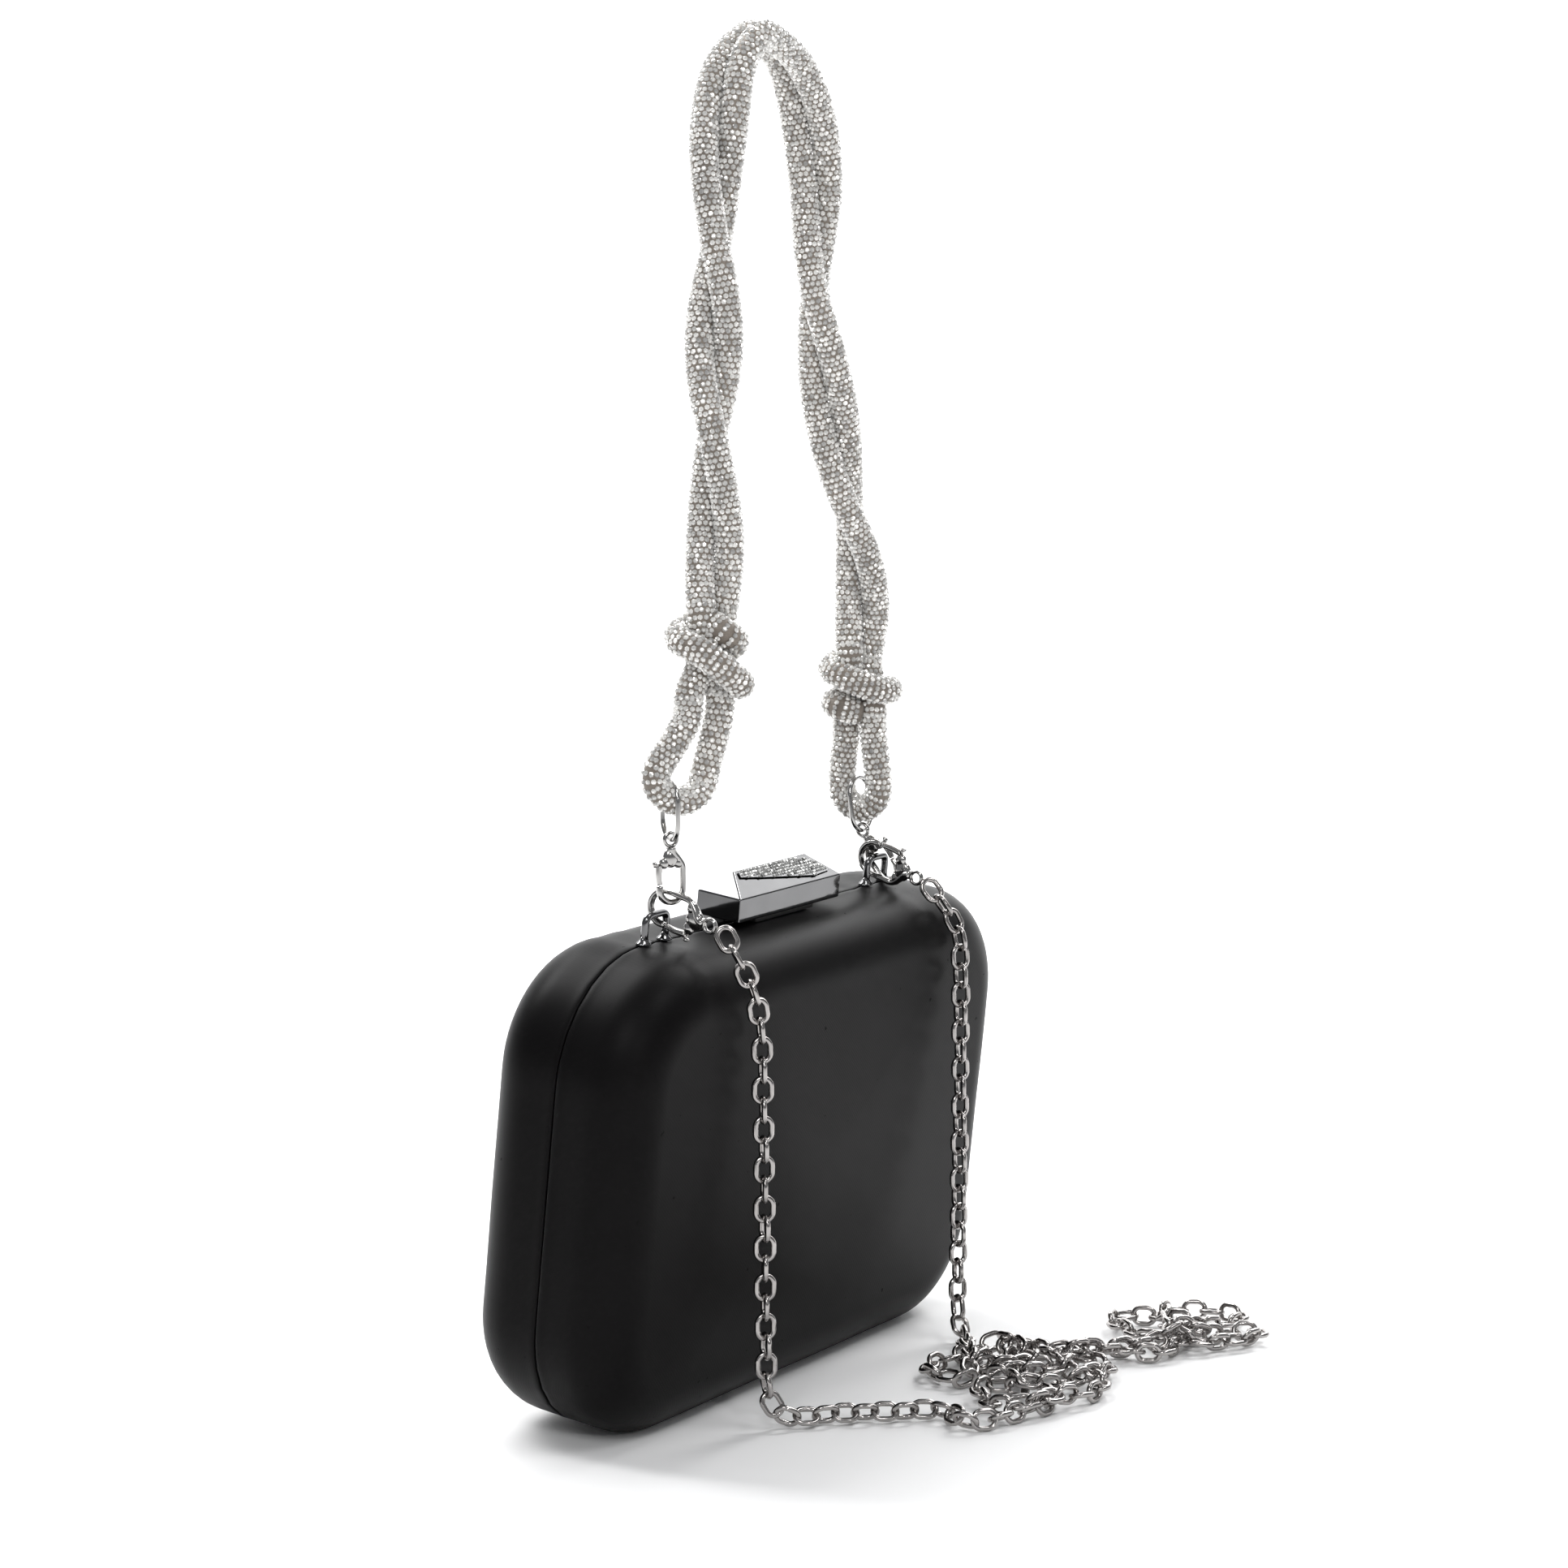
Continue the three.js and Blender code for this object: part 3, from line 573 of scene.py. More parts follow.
def stone_rope(name, points, node, seed):
    """Mesh tube covered in rows of stones, each row set between the stones of the last."""
    draw = random.Random(seed)
    route = Route(points, samples=6 * len(points))
    around = round(2 * math.pi * (ROPE_CORE + 0.25 * MM) / STONE_PITCH)
    rows = round(route.length / ROW_PITCH)
    frames = carried_frames([route.at((k + 0.5) / rows) for k in range(rows)])
    parts = []
    for k, (point, along, side, up) in enumerate(frames):
        for j in range(around):
            angle = 2 * math.pi * (j + 0.5 * (k % 2) + draw.uniform(-0.13, 0.13)) / around
            normal = side * math.cos(angle) + up * math.sin(angle)
            facing = tilted(normal, 0.07, draw)
            seat = point + normal * STONE_SEAT + along * draw.uniform(-0.2, 0.2) * MM
            parts.append(stone(seat, facing, along, STONE_RADIUS, STONE_HEIGHT,
                               draw.uniform(0, 6.3)))
    core = tube_mesh(route.points(round(route.length / (2 * MM))), ROPE_CORE, CORE_SIDES)
    vertices, faces = joined(core, *parts)
    rope = new_piece(name, vertices, faces, MESH, "handle", "stone_mesh", smooth=False)
    rope.data.materials.append(ROPE_STONES)
    core_faces = len(core[1])
    for k, face in enumerate(rope.data.polygons):
        face.material_index = 0 if k < core_faces else 1
        face.use_smooth = k < core_faces
    if node:
        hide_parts(node)
    return rope, route


KNOTS = {
    "left": {"middle": hanging(-44, -26.5, 217.8), "along": Vector((0.22, 0.03, 0.97)),
             "half": 12.5 * MM},
    "right": {"middle": hanging(59.2, -11, 198.6), "along": Vector((0, 0, 1)),
              "half": 10 * MM},
}
LOOPS = {
    "left": {"turn": hanging(-54.1, -23.6, 185.6), "flat": Vector((0.85, -0.52, 0)),
             "radius": 7.5 * MM},
    "right": {"turn": hanging(59.5, -10.8, 167), "flat": Vector((0, 1, 0)),
              "radius": 6.6 * MM},
}
STRAND_SAMPLES = 120
for letter, side, seed in (("a", 1, 21), ("b", -1, 22)):
    points = [strand_point(k / STRAND_SAMPLES, side) for k in range(STRAND_SAMPLES + 1)]
    strand, route = stone_rope(f"stone_strand_{letter}", points, f"rope_strand_{letter}", seed)


def loop_points(side):
    """Line of the small loop: down from the knot, round the ring and up again."""
    knot, loop = KNOTS[side], LOOPS[side]
    up = knot["along"].normalized()
    foot = knot["middle"] - up * knot["half"]
    flat, turn, radius = loop["flat"], loop["turn"], loop["radius"]
    apart = flat * 4.9 * MM
    line = [foot + up * 2 * MM - apart, foot - up * 5 * MM - apart]
    for k in range(7):
        angle = math.pi * k / 6
        line.append(turn - flat * radius * math.cos(angle)
                    - Vector((0, 0, radius * math.sin(angle))))
    return line + [foot - up * 5 * MM + apart, foot + up * 2 * MM + apart]


WRAPS = {   # the knot's outer turn in mm: to the right, towards the viewer, up the rope
    "left": ((-1, -3, 9.5), (-6.4, -4.5, 8), (-8.7, 0.5, 4.6), (-6, 5.8, 2.2), (0.2, 8, -0.8),
             (5.6, 6.4, -4.4), (9.6, 1.2, -6.9), (6.4, -4.6, -5.4), (0.8, -7, -1.2),
             (5, -5.4, 3.2), (6.9, -0.8, 5), (4.4, 4, 6.4), (0.4, 3, 9)),
    "right": ((0, -3, 8), (-4.6, -4.5, 7), (-8.4, -0.5, 4.8), (-6, 5.6, 3.6), (0, 7.8, 1),
              (6, 5.8, -1.2), (9, 0.6, -1.8), (5.6, -5.2, -3), (-1, -7, -4.4),
              (-7.4, -2.4, -5.6), (-6, 3.4, -6.6), (-0.6, 3.4, -8)),
}


def knot_points(side):
    """Line of the turn that wraps the knot; it starts and ends inside."""
    knot = KNOTS[side]
    up = knot["along"].normalized()
    across = SIGHT_LINE.cross(up).normalized()
    deep = up.cross(across)
    return [knot["middle"] + (across * a - deep * d + up * u) * MM for a, d, u in WRAPS[side]]


def core_points(side, sign):
    """Line of one strand's way through a knot, from the rope above to the loop below."""
    share = 0 if side == "left" else 1
    inward = 1 if side == "left" else -1
    top = strand_point(share, sign)
    up = (strand_point(share + 0.01 * inward, sign) - top).normalized()
    loop_line = loop_points(side)
    first_top = strand_point(share, 1)
    near, far = sorted((loop_line[0], loop_line[-1]), key=lambda p: (p - first_top).length)
    foot = near if sign > 0 else far
    below = LOOPS[side]["turn"] - foot
    return [top + up * 0.6 * MM, top - up * 3 * MM, foot, foot + below.normalized() * 2 * MM]


for side, seed in (("left", 31), ("right", 41)):
    stone_rope(f"stone_loop_{side}", Route(loop_points(side)).points(40),
               f"rope_loop_{side}", seed)
    stone_rope(f"stone_knot_{side}", Route(knot_points(side)).points(60),
               f"rope_knot_{side}", seed + 1)
    for letter, sign in (("a", 1), ("b", -1)):
        stone_rope(f"stone_knot_core_{side}_{letter}", core_points(side, sign), None,
                   seed + 3 + sign)


# ---- satin covers and linings of the two halves -------------------------------------
BAG_WIDTH, BAG_HEIGHT, BAG_DEPTH = 200, 139, 57
CORNER_RADIUS, EDGE_RADIUS, CROWN = 34.5, 16.3, 2
COVER = 1.2
LINING_OUTER, LINING_INNER, LINING_MOUTH = 3.9, 4.7, 8.35
COVER_ROWS, LINING_ROWS = (4.5, 7.5), (8.7,)    # rows of points on the straight wall
LOWEST = 0.05 * MM              # nothing of the case reaches below this
WALL_DEPTH = BAG_DEPTH / 2 - CROWN - EDGE_RADIUS
CORNER_STEPS, LONG_STEPS, SHORT_STEPS, ROUNDING_STEPS = 14, 34, 18, 14
MIDDLE_Z = BAG_HEIGHT / 2
GROOVE_HALF_LENGTH, GROOVE_HALF = 78, 1.9
LUG_X = 58


def outline(inset):
    """Rounded rectangle of the case, shrunk by an inset, as (x, z) in millimetres."""
    radius = CORNER_RADIUS - inset
    half_x = BAG_WIDTH / 2 - CORNER_RADIUS
    half_z = MIDDLE_Z - CORNER_RADIUS
    corners = ((1, 1, 0), (-1, 1, 90), (-1, -1, 180), (1, -1, 270))
    points = []
    for n, (sx, sz, start) in enumerate(corners):
        for k in range(CORNER_STEPS + 1):
            angle = math.radians(start + 90 * k / CORNER_STEPS)
            points.append((sx * half_x + radius * math.cos(angle),
                           MIDDLE_Z + sz * half_z + radius * math.sin(angle)))
        x0, z0 = points[-1]
        next_sx, next_sz, next_start = corners[(n + 1) % 4]
        angle = math.radians(next_start)
        x1 = next_sx * half_x + radius * math.cos(angle)
        z1 = MIDDLE_Z + next_sz * half_z + radius * math.sin(angle)
        steps = LONG_STEPS if n % 2 == 0 else SHORT_STEPS
        points += [(x0 + (x1 - x0) * k / steps, z0 + (z1 - z0) * k / steps)
                   for k in range(1, steps)]
    return points


def half_rings(depth, wall_rows):
    """Rings (points, y) of one half's surface from the mouth to the middle of the face."""
    rounding = EDGE_RADIUS - depth
    rings = [(outline(depth), y) for y in (*wall_rows, WALL_DEPTH)]
    for k in range(1, ROUNDING_STEPS + 1):
        angle = math.pi / 2 * k / ROUNDING_STEPS
        rings.append((outline(depth + rounding * (1 - math.cos(angle))),
                      WALL_DEPTH + rounding * math.sin(angle)))
    flat = outline(EDGE_RADIUS)
    for share in (0.93, 0.84, 0.74, 0.63, 0.51, 0.38, 0.24, 0.09):
        points = [(x * share, MIDDLE_Z + (z - MIDDLE_Z) * share) for x, z in flat]
        rings.append((points, WALL_DEPTH + rounding + CROWN * (1 - share * share)))
    return rings


# the mouth's edge as (inset, y): turned in over the shell, with a soft bead beside the seam
MOUTH_EDGE = ((1.2, 0.2), (0.5, 0.2), (0.2, 0.22), (0.03, 0.4), (-0.06, 0.8), (-0.1, 1.4),
              (-0.06, 2.2), (0.0, 3.3))


def cover_relief(x, y, z, side):
    """How far the cloth stands out, in millimetres: soft drift, and puckers where it is held."""
    soft = 0.22 * noise.noise(Vector((x * 0.03, y * 0.03 + side, z * 0.03)))
    top = math.exp(-((z - BAG_HEIGHT) / 16) ** 2)
    held = math.exp(-((abs(x) - LUG_X) / 13) ** 2) * top
    wander = noise.noise(Vector((x * 0.1, y * 0.12, z * 0.1)))
    pucker = 0.17 * held * math.sin(1.15 * x + 2.1 * wander)
    from_middle = math.atan2(z - MIDDLE_Z, x)
    in_corner = math.exp(-((abs(math.sin(2 * from_middle)) - 0.92) / 0.16) ** 2)
    by_seam = math.exp(-(y / 7.5) ** 2)
    gather = 0.13 * in_corner * by_seam * math.sin(95 * from_middle)
    return soft + pucker + gather


def seam_y(x, z, y):
    """Distance of the mouth's edge from the seam; it steps back along the hinge."""
    by_hinge = z < 6 and abs(x) < GROOVE_HALF_LENGTH
    return max(y, GROOVE_HALF) if by_hinge else y


def placed(rings, shaped):
    """Rings (outline, y) as rings of points, marked if they carry a relief."""
    return [([(x, y, z) for x, z in points], shaped) for points, y in rings]


def dish_mesh(outer, inner, side, relief):
    """Closed wall between two stacks of rings, with a relief on the marked rings."""
    rings = outer + inner[::-1]
    count = len(outer[0][0])
    last_outer = len(outer) - 1
    vertices, faces = [], []
    for points, shaped in rings:
        for x, y, z in points:
            place = Vector((x, y, z))
            if shaped:
                away = Vector((max(min(x / 60, 1), -1) ** 3, max(y - 8, 0) / 20,
                               ((z - MIDDLE_Z) / 60) ** 3)).normalized()
                place += away * relief(x, y, z, side)
            point = in_case(place.x, place.y * side, place.z)
            vertices.append(Vector((point.x, point.y, max(point.z, LOWEST))))
    for r in range(len(rings)):
        if r == last_outer:
            continue
        following = (r + 1) % len(rings)
        for k in range(count):
            a, b = r * count + k, r * count + (k + 1) % count
            c, d = following * count + (k + 1) % count, following * count + k
            faces.append((a, b, c, d) if side > 0 else (a, d, c, b))
    for r in (last_outer, last_outer + 1):
        hub = len(vertices)
        vertices.append(sum((vertices[r * count + k] for k in range(count)), Vector()) / count)
        for k in range(count):
            a, b = r * count + k, r * count + (k + 1) % count
            outward = (side > 0) == (r == last_outer)
            faces.append((a, b, hub) if outward else (a, hub, b))
    return vertices, faces


def cover_mesh(side):
    """Closed satin cover of one half; side is +1 at the back and -1 at the front."""
    mouth = [([(x, seam_y(x, z, y), z) for x, z in outline(inset)], True)
             for inset, y in MOUTH_EDGE]
    outer = mouth + placed(half_rings(0, COVER_ROWS), True)
    inner = placed(half_rings(COVER, COVER_ROWS), False)
    return dish_mesh(outer, inner, side, cover_relief)


def lining_relief(x, y, z, side):
    """Loose folds of the lining, which only stand into the case."""
    fold = noise.noise(Vector((x * 0.05 + side, y * 0.09, z * 0.05)))
    crease = 1 - abs(noise.noise(Vector((x * 0.028, y * 0.03 + 5 * side, z * 0.04 + 0.03 * x))))
    return -0.45 * abs(fold) - 0.5 * max(0, crease - 0.82) / 0.18


def lining_mesh(side):
    """Closed lining of one half, with a rolled edge at its mouth."""
    lip = [(outline(inset), LINING_MOUTH) for inset in (LINING_OUTER + 0.2, LINING_INNER - 0.2)]
    outer = placed(lip[:1] + half_rings(LINING_OUTER, LINING_ROWS), False)
    inner = placed(lip[1:], False) + placed(half_rings(LINING_INNER, LINING_ROWS), True)
    return dish_mesh(outer, inner, side, lining_relief)


for half, side in (("back", 1), ("front", -1)):
    cover = new_piece(f"satin_{half}", *cover_mesh(side), SATIN, f"{half}_half", "satin")
    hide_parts(f"{half}_cover")
    lining = new_piece(f"lining_cloth_{half}", *lining_mesh(side), LINING, f"{half}_half",
                       "lining")
    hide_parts(f"{half}_lining")


# ---- box clasp ----------------------------------------------------------------------
CLASP_HALF = 26.5
CLASP_FRONT, CLASP_BACK = -7.0, 8.0
CLASP_BOTTOM, CLASP_EAVES = 141.0, 148.0
RIDGE_Y, RIDGE_Z, RIDGE_HALF = 1.5, 153.6, 18.7
CLASP_WALL = 1.2
STONE_AREA = ((-17.6, 9.3), (12.5, 9.3), (18.5, 7.6), (22.4, 2.2), (14, 1.6), (4, 3.2),
              (-8, 5.2), (-18.6, 7.2))
SLOPE_RUN, SLOPE_RISE = RIDGE_Y - CLASP_FRONT, RIDGE_Z - CLASP_EAVES
SLOPE = math.hypot(SLOPE_RUN, SLOPE_RISE)
PLATE_FROM, PLATE_TO = 0.32, 0.52       # the stones' plate, above the slope
PAVE_PITCH, PAVE_ROW = 1.14, 0.87
PAVE_RIM = 0.3
BEVEL = 0.38 * MM


def clasp_box():
    """Hip-roofed box, open below, with narrow bright bevels along its edges."""
    bm = bmesh.new()

    def ring(half, y0, y1, z):
        return [bm.verts.new(in_case(x, y, z))
                for x, y in ((-half, y0), (half, y0), (half, y1), (-half, y1))]

    wall = CLASP_WALL
    foot = ring(CLASP_HALF, CLASP_FRONT, CLASP_BACK, CLASP_BOTTOM)
    eaves = ring(CLASP_HALF, CLASP_FRONT, CLASP_BACK, CLASP_EAVES)
    ridge = [bm.verts.new(in_case(x, RIDGE_Y, RIDGE_Z)) for x in (-RIDGE_HALF, RIDGE_HALF)]
    inner_foot = ring(CLASP_HALF - wall, CLASP_FRONT + wall, CLASP_BACK - wall, CLASP_BOTTOM)
    ceiling = ring(CLASP_HALF - wall, CLASP_FRONT + wall, CLASP_BACK - wall, CLASP_EAVES - wall)
    for k in range(4):
        n = (k + 1) % 4
        bm.faces.new((foot[k], foot[n], eaves[n], eaves[k]))
        bm.faces.new((foot[n], foot[k], inner_foot[k], inner_foot[n]))
        bm.faces.new((inner_foot[n], inner_foot[k], ceiling[k], ceiling[n]))
    bm.faces.new(ceiling)
    bm.faces.new((eaves[0], eaves[1], ridge[1], ridge[0]))
    bm.faces.new((eaves[2], eaves[3], ridge[0], ridge[1]))
    bm.faces.new((eaves[1], eaves[2], ridge[1]))
    bm.faces.new((eaves[3], eaves[0], ridge[0]))
    bmesh.ops.recalc_face_normals(bm, faces=bm.faces)
    bmesh.ops.bevel(bm, geom=bm.edges[:], offset=BEVEL, segments=3, profile=0.6,
                    affect='EDGES', clamp_overlap=True)
    mesh = bpy.data.meshes.new("clasp_box")
    bm.to_mesh(mesh)
    bm.free()
    mesh.shade_smooth()
    mesh.materials.append(CHROME)
    piece = bpy.data.objects.new("clasp_box", mesh)
    bpy.context.scene.collection.objects.link(piece)
    sharp = piece.modifiers.new("crisp", 'WEIGHTED_NORMAL')
    sharp.keep_sharp = True
    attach(piece, "lever")
    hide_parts("clasp_lever")


def inside_area(x, up, area):
    """Is the point inside the polygon?"""
    inside = False
    for (x0, u0), (x1, u1) in zip(area, area[1:] + area[:1]):
        if (u0 > up) != (u1 > up) and x < x0 + (x1 - x0) * (up - u0) / (u1 - u0):
            inside = not inside
    return inside


def on_slope(x, up, proud):
    """Point on the clasp's front slope, standing proud of it."""
    return in_case(x, CLASP_FRONT + (SLOPE_RUN * up - SLOPE_RISE * proud) / SLOPE,
                   CLASP_EAVES + (SLOPE_RISE * up + SLOPE_RUN * proud) / SLOPE)


def clasp_pave():
    """Small stones set edge to edge over a dark plate."""
    draw = random.Random(5)
    normal = (on_slope(0, 0, 1) - on_slope(0, 0, 0)).normalized()
    along = Vector((1, 0, 0))
    parts = []
    row = 0
    up = 1.0
    while up < 9.6:
        x = -20 + (PAVE_PITCH / 2 if row % 2 else 0)
        while x < 24:
            rim = ((x - PAVE_RIM, up), (x + PAVE_RIM, up), (x, up - PAVE_RIM), (x, up + PAVE_RIM))
            if all(inside_area(*p, STONE_AREA) for p in rim):
                facing = tilted(normal, 0.08, draw)
                parts.append(stone(on_slope(x, up, PLATE_FROM + 0.1), facing, along,
                                   0.6 * MM, 0.42 * MM, draw.uniform(0, 6.3)))
            x += PAVE_PITCH
        up += PAVE_PITCH * PAVE_ROW
        row += 1
    count = len(STONE_AREA)
    plate = ([on_slope(x, u, h) for h in (PLATE_FROM, PLATE_TO) for x, u in STONE_AREA],
             [(k, (k + 1) % count, count + (k + 1) % count, count + k) for k in range(count)]
             + [tuple(range(count, 2 * count)), tuple(reversed(range(count)))])
    vertices, faces = joined(plate, *parts)
    piece = new_piece("clasp_pave", vertices, faces, STEEL, "lever", "stones", smooth=False)
    piece.data.materials.append(CLASP_STONES)
    plate_faces = len(plate[1])
    for k, face in enumerate(piece.data.polygons):
        face.material_index = 0 if k < plate_faces else 1
    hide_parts("clasp_stones")


clasp_box()
clasp_pave()


# ---- lugs ---------------------------------------------------------------------------
LUG_Y, LUG_BAR_Z, LUG_LEG = 0.1, 147.3, 5.0
LUG_WIRE, LUG_SIDES = 1.12 * MM, 14
FOOT_PROFILE = ((2.5, 0.3), (2.55, 0.55), (2.3, 0.95), (1.7, 1.35), (1.2, 2.1), (1.0, 2.6))
FOOT_SIDES = 18
FOOT_ALONG, FOOT_ACROSS = 1.12, 0.8     # the foot is an oval


def lug_mesh(side):
    """Round-shouldered staple with flared feet on the seam."""
    shoulder = 2.2
    half = []
    for z in (BAG_HEIGHT + 0.25, BAG_HEIGHT + 2.5, LUG_BAR_Z - shoulder - 0.8):
        half.append((-LUG_LEG, z))
    for k in range(1, 7):
        angle = math.pi / 2 * k / 6
        half.append((-LUG_LEG + shoulder * (1 - math.cos(angle)),
                     LUG_BAR_Z - shoulder + shoulder * math.sin(angle)))
    arch = half + [(-x, z) for x, z in reversed(half)]
    line = Route([in_case(side * LUG_X + x, LUG_Y, z) for x, z in arch]).points(48)
    staple = tube_mesh(line, LUG_WIRE, LUG_SIDES)
    feet = []
    for leg in (-LUG_LEG, LUG_LEG):
        vertices, faces = [], []
        for radius, height in FOOT_PROFILE:
            for k in range(FOOT_SIDES):
                angle = 2 * math.pi * k / FOOT_SIDES
                x = side * LUG_X + leg + radius * FOOT_ALONG * math.cos(angle)
                y = LUG_Y + radius * FOOT_ACROSS * math.sin(angle)
                vertices.append(in_case(x, y, BAG_HEIGHT + height))
        last = (len(FOOT_PROFILE) - 1) * FOOT_SIDES
        for ring in range(0, last, FOOT_SIDES):
            for k in range(FOOT_SIDES):
                a, b = ring + k, ring + (k + 1) % FOOT_SIDES
                faces.append((a, b, b + FOOT_SIDES, a + FOOT_SIDES))
        faces.append(tuple(reversed(range(FOOT_SIDES))))
        faces.append(tuple(range(last, last + FOOT_SIDES)))
        feet.append((vertices, faces))
    return joined(staple, *feet)


for name, side in (("left", -1), ("right", 1)):
    lug = new_piece(f"staple_{name}", *lug_mesh(side), CHROME, "back_half", "nickel")
    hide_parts(f"lug_{name}")


# ---- hook clasps and rings ----------------------------------------------------------
CHAIN_HOOK = {"length": 21.4, "half_width": 5.8, "mouth": 14.1}
HANDLE_HOOK = {"length": 18.6, "half_width": 4.4, "mouth": 12.5}
HOOKS = {
    "chain_clasp_left": (CHAIN_HOOK, (-55.8, -34.2, 144), (0, 0.971, 0.24), (0, 0.24, -0.971),
                         "back_half", "chain_trigger_left"),
    "chain_clasp_right": (CHAIN_HOOK, (56.45, -32.6, 141.2), (0, 0.95, 0.31),
                          (0, -0.31, 0.95), "back_half", "chain_trigger_right"),
    "handle_clasp_left": (HANDLE_HOOK, (-55.8, -21.2, 167.4), (0, 0, -1), (-0.85, 0.52, 0),
                          "handle", "handle_trigger_left"),
    "handle_clasp_right": (HANDLE_HOOK, (59.55, -11.6, 153.8), (0, -0.62, -0.785),
                           (0, -0.785, 0.62), "handle", "handle_trigger_right"),
}


def tapered_tube(points, radii, sides, flatten, across):
    """Tube whose radius changes along its line, wider along one direction."""
    frames = carried_frames(points)
    vertices, faces = [], []
    for (point, along, _, _), radius in zip(frames, radii):
        side = across.cross(along).normalized()
        for k in range(sides):
            angle = 2 * math.pi * k / sides
            vertices.append(point + side * math.cos(angle) * radius
                            + across * math.sin(angle) * radius * flatten)
    for ring in range(len(points) - 1):
        for k in range(sides):
            a, b = ring * sides + k, ring * sides + (k + 1) % sides
            faces.append((a, b, b + sides, a + sides))
    faces.append(tuple(reversed(range(sides))))
    faces.append(tuple(range((len(points) - 1) * sides, len(points) * sides)))
    return vertices, faces


def ball(middle, a, b, c, sizes, rings=10, sides=16):
    """Ellipsoid with half sizes along three directions."""
    vertices, faces = [], []
    for r in range(rings + 1):
        polar = math.pi * r / rings
        for k in range(sides):
            angle = 2 * math.pi * k / sides
            vertices.append(middle + a * sizes[0] * math.cos(polar)
                            + b * sizes[1] * math.sin(polar) * math.cos(angle)
                            + c * sizes[2] * math.sin(polar) * math.sin(angle))
    for r in range(rings):
        for k in range(sides):
            p, q = r * sides + k, r * sides + (k + 1) % sides
            faces.append((p, q, q + sides, p + sides))
    return vertices, faces


EYE_RADIUS, EYE_WIRE = 1.88, 0.55 * MM
CLAW_STEPS, LEVER_STEPS = 44, 16
ARM_INSET = 0.85                # of the arms' middle line from the hook's outline
THICKER = 1.35                  # the claw is thicker across than in its plane


def claw_radius(k):
    """Half width of the claw: thick at the root, slender in the bend, thinner at the tip."""
    waist = 0.28 * math.sin(math.pi * min(k / CLAW_STEPS, 1))
    root = 0.25 * (1 - k / 8) if k < 8 else 0
    tip = 0.22 * max(0, (k - 38) / 6)
    return (1.15 - waist + root - tip) * 0.98 * MM


def hook_meshes(shape, eye, along, trigger_side):
    """Body and trigger of a hook clasp, rounded as a cast one is."""
    length, half, mouth = shape["length"], shape["half_width"], shape["mouth"]
    a = Vector(along).normalized()
    b = Vector(trigger_side)
    b = (b - a * a.dot(b)).normalized()
    n = a.cross(b)
    origin = hanging(*eye)

    def at(x, y):
        """Point x along the hook from its eye, and y towards the trigger."""
        return origin + (a * x + b * y) * MM

    arm = half - ARM_INSET
    loop = []
    for k in range(28):
        angle = 2 * math.pi * k / 28
        loop.append(at(EYE_RADIUS * math.cos(angle), EYE_RADIUS * math.sin(angle)))
    eye_ring = ring_tube(loop, EYE_WIRE, 10, flatten=1.5, across=n)
    bend = length - ARM_INSET - arm
    line = [at(2.2, 0), at(3.8, -0.5), at(5.4, -arm * 0.55), at(7.6, -arm * 0.96),
            at(length * 0.52, -arm)]
    for k in range(9):
        angle = -math.pi / 2 + math.pi * 0.93 * k / 8
        line.append(at(bend + arm * math.cos(angle), arm * math.sin(angle)))
    line.append(at(mouth + 0.45, arm * 0.98))
    radii = [claw_radius(k) for k in range(CLAW_STEPS + 1)]
    claw = tapered_tube(Route(line).points(CLAW_STEPS), radii, 14, THICKER, n)
    bulb = ball(at(5.2, 0), a, b, n, (2.9 * MM, half * 0.55 * MM, 1.45 * MM))
    shoulders = [ball(at(6.6, arm * side), a, b, n, (1.7 * MM, arm * 0.42 * MM, 1.3 * MM))
                 for side in (-0.6, 0.6)]
    body = joined(eye_ring, claw, bulb, *shoulders)
    lever_line = Route([at(7.3, arm + 0.05), at((7.3 + mouth) / 2, arm + 0.25),
                        at(mouth + 0.05, arm)]).points(LEVER_STEPS)
    lever_radii = [(1.0 - 0.22 * k / LEVER_STEPS) * MM for k in range(LEVER_STEPS + 1)]
    lever = tapered_tube(lever_line, lever_radii, 12, 1.25, n)
    knob_stem = tapered_tube([at(7.4, arm + 0.2), at(7.2, arm + 0.8), at(6.9, arm + 1.3)],
                             [0.75 * MM, 0.6 * MM, 0.55 * MM], 12, 1.2, n)
    knob = ball(at(6.8, arm + 1.45), a, b, n, (0.95 * MM, 0.6 * MM, 1.0 * MM))
    return body, joined(lever, knob_stem, knob)


for name, (shape, eye, along, trigger_side, body, trigger_body) in HOOKS.items():
    hook, trigger = hook_meshes(shape, eye, along, trigger_side)
    piece = new_piece(f"{name}_hook", *hook, FITTINGS, body, "nickel")
    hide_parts(name)
    piece = new_piece(f"{name}_lever", *trigger, FITTINGS, trigger_body, "nickel")
    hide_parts(f"{name}_trigger")

RING_WIRE, RING_HALF_WIDTH, RING_LENGTH = 0.75, 5.4, 16.2
RING_STEPS = 64
RINGS = {
    "left": ((-55.8, -21.2, 167.4), (0, 0, 1), (0.52, 0.85, 0)),
    "right": ((59.55, -11.6, 153.8), (0, 0.1, 1), (1, 0, 0)),
}
for name, (eye, along, flat) in RINGS.items():
    up, right = Vector(along).normalized(), Vector(flat).normalized()
    stretch = RING_LENGTH - 2 * RING_HALF_WIDTH
    loop = []
    for k in range(RING_STEPS):
        angle = 2 * math.pi * k / RING_STEPS
        height = RING_HALF_WIDTH * (1 + math.sin(angle)) + (stretch if math.sin(angle) > 0 else 0)
        loop.append(hanging(*eye) + (up * height
                                     + right * RING_HALF_WIDTH * math.cos(angle)) * MM)
    ring = new_piece(f"oval_{name}", *ring_tube(loop, RING_WIRE * MM, 14), FITTINGS, "handle",
                     "nickel")
    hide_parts(f"ring_{name}")


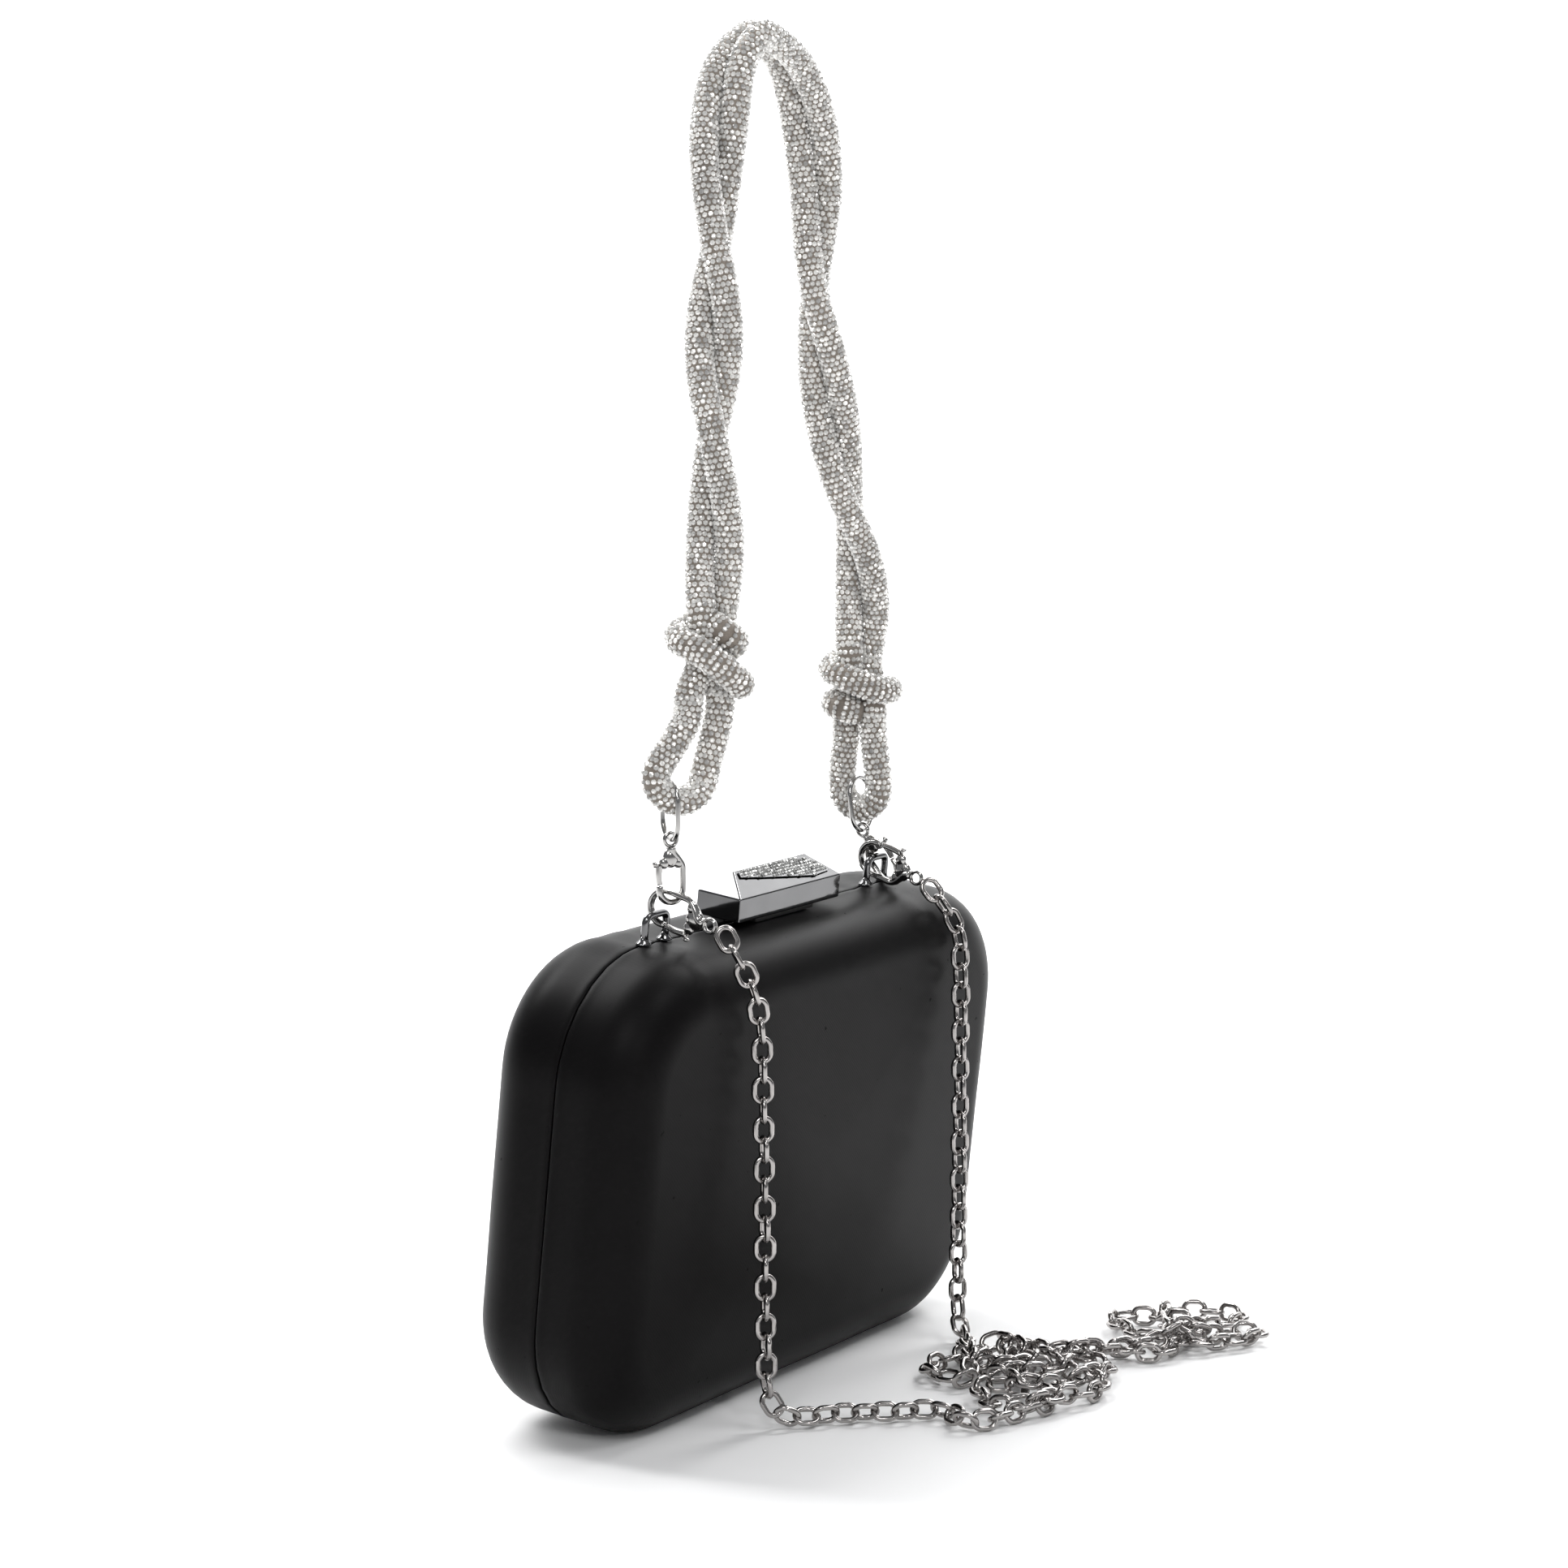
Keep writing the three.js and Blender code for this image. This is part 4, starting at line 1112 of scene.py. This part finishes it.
# ---- finishes of the pieces that keep their CAD shape -------------------------------
CAD_FINISHES = {
    "satin": SATIN, "board": BOARD, "lining": LINING, "frame_metal": RIM,
    "nickel": FITTINGS, "steel": STEEL, "stones": CLASP_STONES, "stone_mesh": MESH,
    "gunmetal": DARK_CHAIN,
}
for subpart in frame["record"]["subparts"]:
    for material_slot in bpy.data.objects[subpart["node"]].material_slots:
        material_slot.material = CAD_FINISHES[subpart["material_slot"]]


# ---- stage --------------------------------------------------------------------------
WALL_DISTANCE, WALL_HEIGHT = 2.6, 3.4
BEND_RADIUS, BEND_STEPS = 0.9, 16
SWEEP_FRONT = -4.0
SWEEP_HALF_WIDTH = 5.0


def make_stage():
    """White paper sweep: a floor that rises into a wall behind the bag, seen from the camera."""
    away = Vector((-math.sin(CAMERA_AZIMUTH), math.cos(CAMERA_AZIMUTH), 0))
    side = Vector((away.y, -away.x, 0))
    bend = WALL_DISTANCE - BEND_RADIUS
    profile = [(SWEEP_FRONT, 0.0), (-1.5, 0.0), (bend, 0.0)]
    for k in range(1, BEND_STEPS + 1):
        angle = math.pi / 2 * k / BEND_STEPS
        profile.append((bend + BEND_RADIUS * math.sin(angle),
                        BEND_RADIUS * (1 - math.cos(angle))))
    profile.append((WALL_DISTANCE, WALL_HEIGHT))
    vertices, faces = [], []
    for run, up in profile:
        for sign in (-1, 1):
            vertices.append(away * run + side * SWEEP_HALF_WIDTH * sign + Vector((0, 0, up)))
    for k in range(len(profile) - 1):
        faces.append((2 * k, 2 * k + 1, 2 * k + 3, 2 * k + 2))
    sweep = new_piece("paper_sweep", vertices, faces,
                      stage_material("paper_white", (0.93, 0.93, 0.93), 0.7), None, None)


def area_light(name, place, target, size, power):
    """Softbox at a place, turned to a target."""
    data = bpy.data.lights.new(name, 'AREA')
    data.shape = 'RECTANGLE'
    data.size, data.size_y = size
    data.energy = power
    lamp = bpy.data.objects.new(name, data)
    lamp.location = place
    lamp.rotation_euler = (Vector(target) - Vector(place)).to_track_quat('-Z', 'Y').to_euler()
    bpy.context.scene.collection.objects.link(lamp)


make_stage()
MIDDLE = (0, 0, 0.14)
area_light("softbox_top", (0.14, 0.62, 1.12), MIDDLE, (0.75, 0.6), 10)
area_light("softbox_left", (-0.85, -0.45, 0.85), MIDDLE, (0.4, 0.4), 3.2)
area_light("softbox_front", (0.1, -0.75, 1.15), MIDDLE, (0.5, 0.3), 3.0)
area_light("softbox_right", (0.95, -0.06, 0.8), MIDDLE, (0.7, 0.7), 2.8)
area_light("stone_light", (-0.62, -1.0, 0.6), (0, 0, 0.3), (0.06, 0.06), 1.2)
area_light("backdrop_left", (-0.25, 1.7, 2.0), (1.9, 2.1, 0.7), (1.2, 0.8), 60)
area_light("backdrop_right", (1.75, -0.25, 2.0), (2.6, 0.9, 0.7), (1.2, 0.8), 60)
world = bpy.data.worlds.new("studio")
world.use_nodes = True
world.node_tree.nodes["Background"].inputs["Color"].default_value = (0.95, 0.97, 1, 1)
world.node_tree.nodes["Background"].inputs["Strength"].default_value = 0.26
bpy.context.scene.world = world
bpy.context.scene.view_settings.view_transform = 'Standard'
